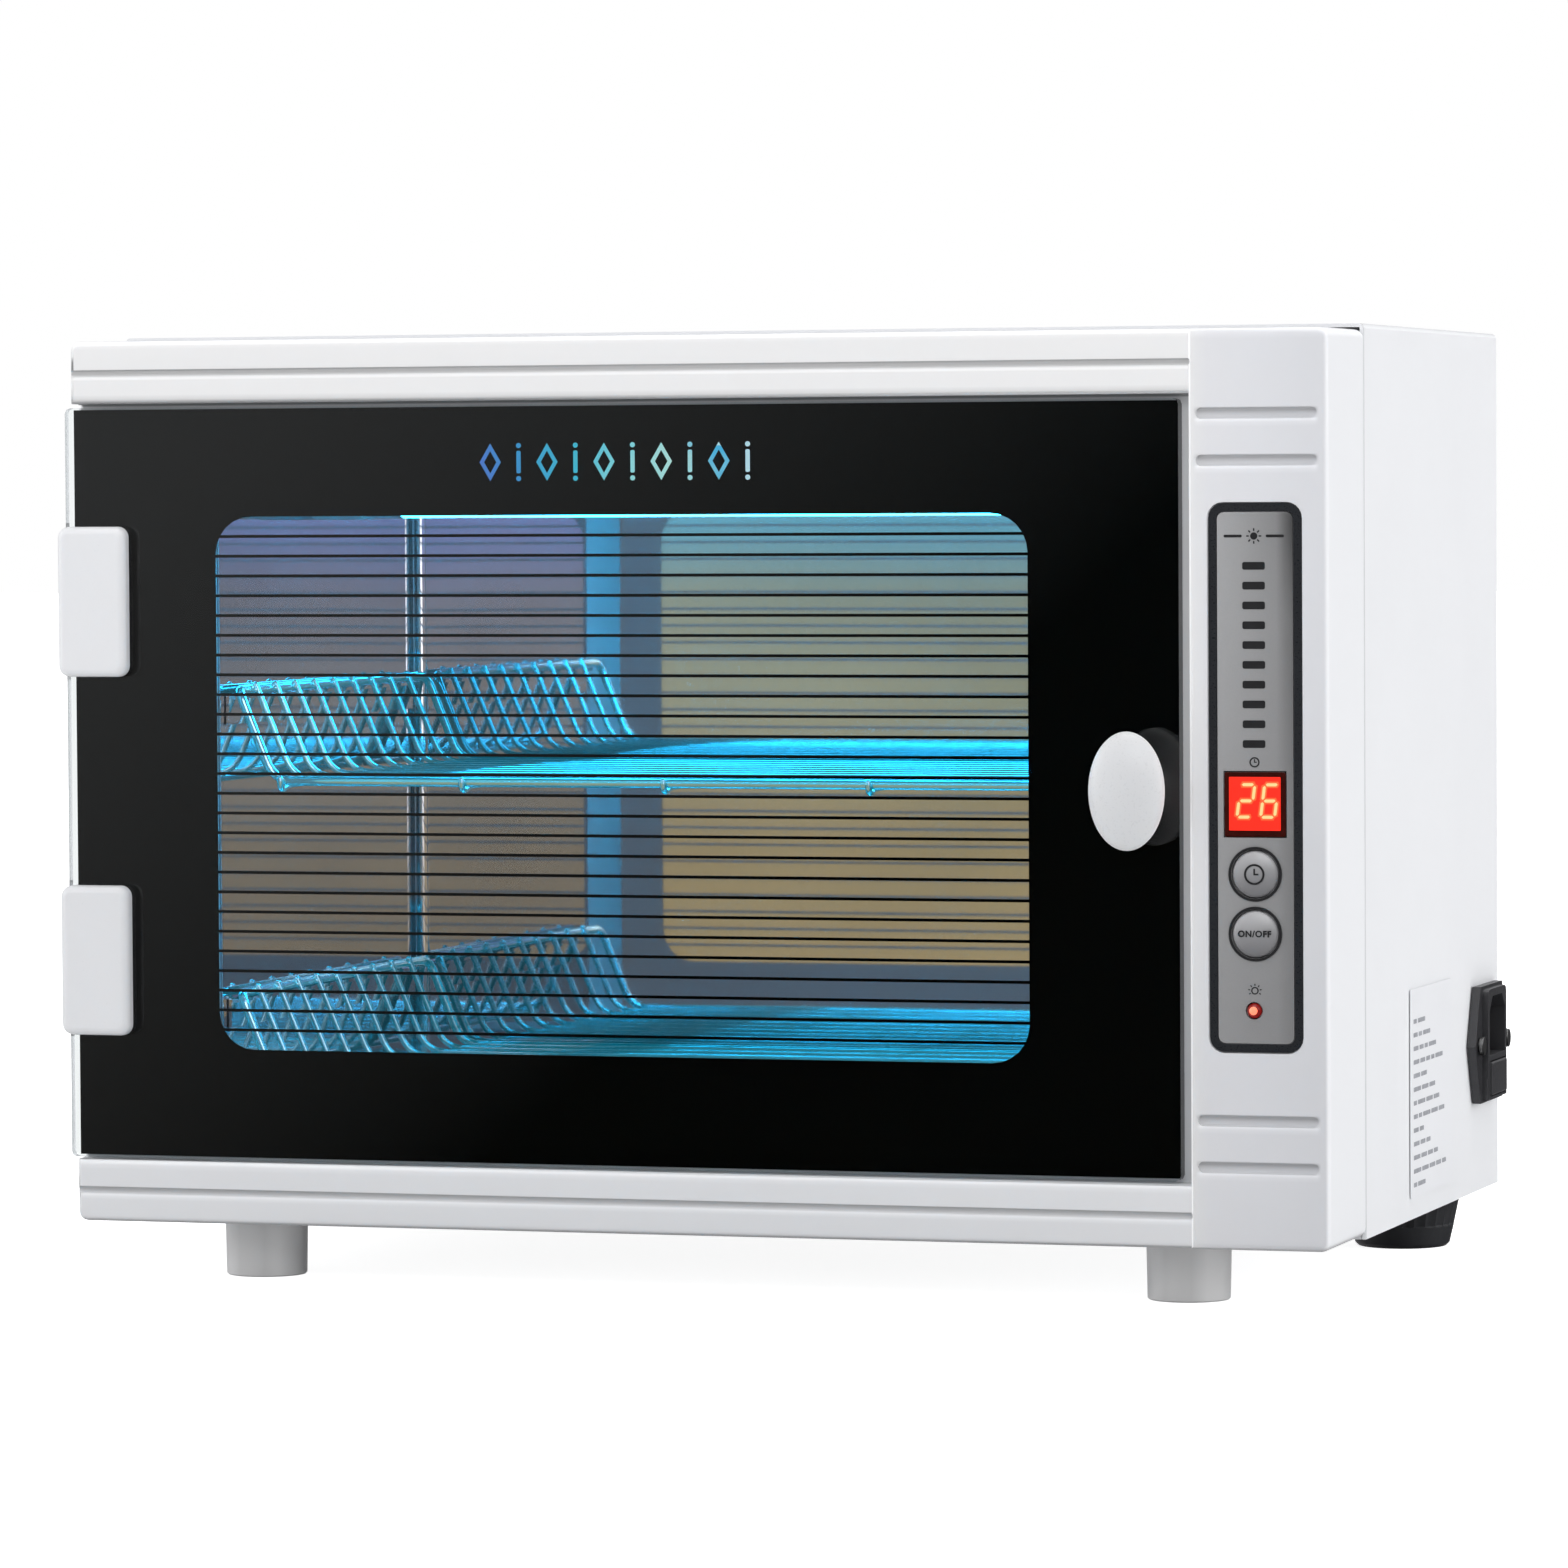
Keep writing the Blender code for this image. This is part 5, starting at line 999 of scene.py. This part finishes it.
def make_panel_print():
    """Rings round the buttons, a sun, a clock, a bulb and a ten-step scale in dark ink."""
    bm = bmesh.new()

    def ink(outline, hole=None, lift=0.0):
        flat_shape(bm, outline, INK_FRONT - lift, INK_BACK, hole)

    def rays(x, z, end, width, turns):
        start = 1.3
        for angle in turns:
            across, up = math.cos(angle), math.sin(angle)
            ink(stroke(x + start * across, z + start * up, x + end * across, z + end * up, width))

    for z in (TIME_LEVEL, POWER_LEVEL):
        outer, inner = (circle(BUTTON_X, z, radius, 64) for radius in (7.1, 6.42))
        flat_shape(bm, outer, PANEL_FACE - 0.35, INK_BACK, inner)
    for step in range(10):
        z = 177.6 - 5.12 * step
        ink(rectangle(327.2, z - 1.0, 333.2, z + 1.0, 0.5))
    sun_x, sun_z = 330.3, 185.3
    ink(circle(sun_x, sun_z, 0.95, 24))
    rays(sun_x, sun_z, 2.0, 0.35, angles(8))
    for left in (sun_x - 8.0, sun_x + 3.2):
        ink(rectangle(left, sun_z - 0.35, left + 4.8, sun_z + 0.35, 0.3))
    clock_x, clock_z = 330.3, 126.8
    ink(circle(clock_x, clock_z, 1.35, 28), circle(clock_x, clock_z, 0.98, 28))
    ink(stroke(clock_x, clock_z - 0.1, clock_x, clock_z + 0.8, 0.28), lift=0.002)
    ink(stroke(clock_x - 0.1, clock_z, clock_x + 0.6, clock_z, 0.28), lift=0.004)
    bulb_x, bulb_z = 330.2, 67.6
    ink(circle(bulb_x, bulb_z, 1.0, 24), circle(bulb_x, bulb_z, 0.68, 24))
    rays(bulb_x, bulb_z, 1.8, 0.28, [math.radians(-30 + 40 * step) for step in range(7)])
    add_shape("panel_print", bm, INK, "cabinet")


def make_button_print():
    """A clock on the time button and the switch's own words on the power button."""
    face = -0.86
    back = face + 0.30
    x, z = BUTTON_X, TIME_LEVEL
    bm = bmesh.new()
    flat_shape(bm, circle(x, z, 2.7), face, back, circle(x, z, 2.2))
    flat_shape(bm, stroke(x, z - 0.2, x, z + 1.5, 0.42), face, back)
    flat_shape(bm, stroke(x - 0.2, z, x + 1.1, z, 0.42), face - 0.003, back)
    add_shape("time_button_print", bm, INK, "time_button")
    text = bpy.data.curves.new("switch_words", "FONT")
    text.body = "ON/OFF"
    text.size = 2.25 * MM
    text.align_x = "CENTER"
    text.align_y = "CENTER"
    text.extrude = 0.12 * MM
    text.offset = 0.07 * MM
    text.space_character = 1.12
    words = bpy.data.objects.new("switch_words", text)
    SCENE.collection.objects.link(words)
    words.rotation_euler = (math.pi / 2, 0.0, 0.0)
    words.location = at(BUTTON_X, face + 0.14, POWER_LEVEL)
    bpy.context.view_layer.update()
    mesh = bpy.data.meshes.new_from_object(words.evaluated_get(bpy.context.evaluated_depsgraph_get()))
    mesh.transform(words.matrix_world)
    bpy.data.objects.remove(words, do_unlink=True)
    mesh.name = "power_button_print"
    add_piece("power_button_print", mesh, INK, "power_button")


def digit_outlines(segments, left, grow):
    """Seven-segment bars of one digit, pointed at their ends and leaning to the right."""
    bottom, width, height, lean = 112.6, 3.7, 8.4, 0.13
    half, gap = 0.40, 0.25 - grow
    middle, top, right = bottom + height / 2, bottom + height, left + width
    lines = {"a": (left, top, right, top), "g": (left, middle, right, middle),
             "d": (left, bottom, right, bottom),
             "b": (right, middle, right, top), "c": (right, bottom, right, middle),
             "f": (left, middle, left, top), "e": (left, bottom, left, middle)}
    outlines = []
    for letter in segments:
        x0, z0, x1, z1 = lines[letter]
        length = math.hypot(x1 - x0, z1 - z0)
        ux, uz = (x1 - x0) / length, (z1 - z0) / length
        start, end, side = gap + half, length - gap - half, half + grow
        corners = ((gap, 0), (start, -side), (end, -side), (length - gap, 0), (end, side), (start, side))
        points = [(x0 + ux * along - uz * aside, z0 + uz * along + ux * aside) for along, aside in corners]
        outlines.append([(x + (z - bottom) * lean, z) for x, z in points])
    return outlines


def make_display():
    """A lit red field in the lens with a two-digit reading, and the heart of the red lamp."""
    field = bmesh.new()
    flat_shape(field, rectangle(323.5, 109.1, 337.2, 123.0, 0.15, 2), 0.34, 0.42)
    add_shape("display_field", field, DISPLAY_GLOW, "cabinet")
    two, six = ("abged", 325.6), ("afgedc", 331.9)
    for name, grow, front, material in (("display_halo", 0.42, 0.31, HALO),
                                        ("display_digits", 0.0, 0.28, DIGIT)):
        bm = bmesh.new()
        for segments, left in (two, six):
            for outline in digit_outlines(segments, left, grow):
                flat_shape(bm, outline, front, front + 0.03)
        add_shape(name, bm, material, "cabinet")
    bm = bmesh.new()
    dome = [(0.0, -1.06), (0.5, -0.98), (0.95, -0.76), (1.1, -0.55), (0.0, -0.5)]
    join_ovals(bm, x_at(330.0), z_at(62.4), [(radius * MM, radius * MM, y_at(y)) for radius, y in dome], 24)
    add_shape("led_heart", bm, LED_GLOW, "cabinet", sharp=70.0)


make_panel_print()
make_button_print()
make_display()

# Mains inlet, feet and label

dress("inlet_housing", INLET_BLACK, 0.0002)
dress("fuse_drawer", INLET_BLACK, 0.0002)
paint(PLATED, "fuse")
for pin in ("line", "neutral", "earth"):
    dress(f"inlet_pin_{pin}", BRASS, 0.0001)
for side in SIDES:
    dress(f"inlet_screw_{side}", DARK_SCREW, 0.0003)
    dress(f"front_foot_{side}", FOOT_SHADED_WHITE)
    dress(f"rear_foot_{side}", RUBBER, 0.0002)


def add_label_bar(bm, low, high):
    """A thin bar on the label with round corners."""
    matrix = Matrix.Translation((low + high) / 2) @ Matrix.Diagonal((*(high - low), 1.0))
    made = bmesh.ops.create_cube(bm, size=1.0, matrix=matrix)["verts"]
    edges = [edge for edge in {edge for vert in made for edge in vert.link_edges}
             if abs((edge.verts[0].co - edge.verts[1].co).normalized().x) > 0.99]
    bmesh.ops.bevel(bm, geom=edges, offset=0.0002, segments=2, profile=0.5, affect="EDGES")


def make_label():
    """A blank rating label flush on the side, with short grey bars where its lines of print would be."""
    piece = dress("rating_label", LABEL)
    shell_face, face = (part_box(name)[1].x for name in ("outer_shell", "rating_label"))
    for vert in piece.data.vertices:
        if vert.co.x < (shell_face + face) / 2:
            vert.co.x = shell_face + 0.00001
    bm = bmesh.new()
    first_bar, end_bar, top_row, row_pitch, half_bar = 97.0, 142.0, 53.0, 3.7, 0.6
    for row in range(13):
        y, z = first_bar, top_row - row_pitch * row
        for step in range(2 + (row * 5) % 4):
            length = 4.0 + (row * 7 + step * 5) % 6
            if y + length > end_bar:
                break
            add_label_bar(bm, Vector((face - 0.00005, y_at(y), z_at(z - half_bar))),
                          Vector((face + 0.00003, y_at(y + length), z_at(z + half_bar))))
            y += length + 1.3
    add_shape("label_rules", bm, LABEL_INK, "cabinet")


make_label()

SCENE.view_settings.view_transform = "Standard"
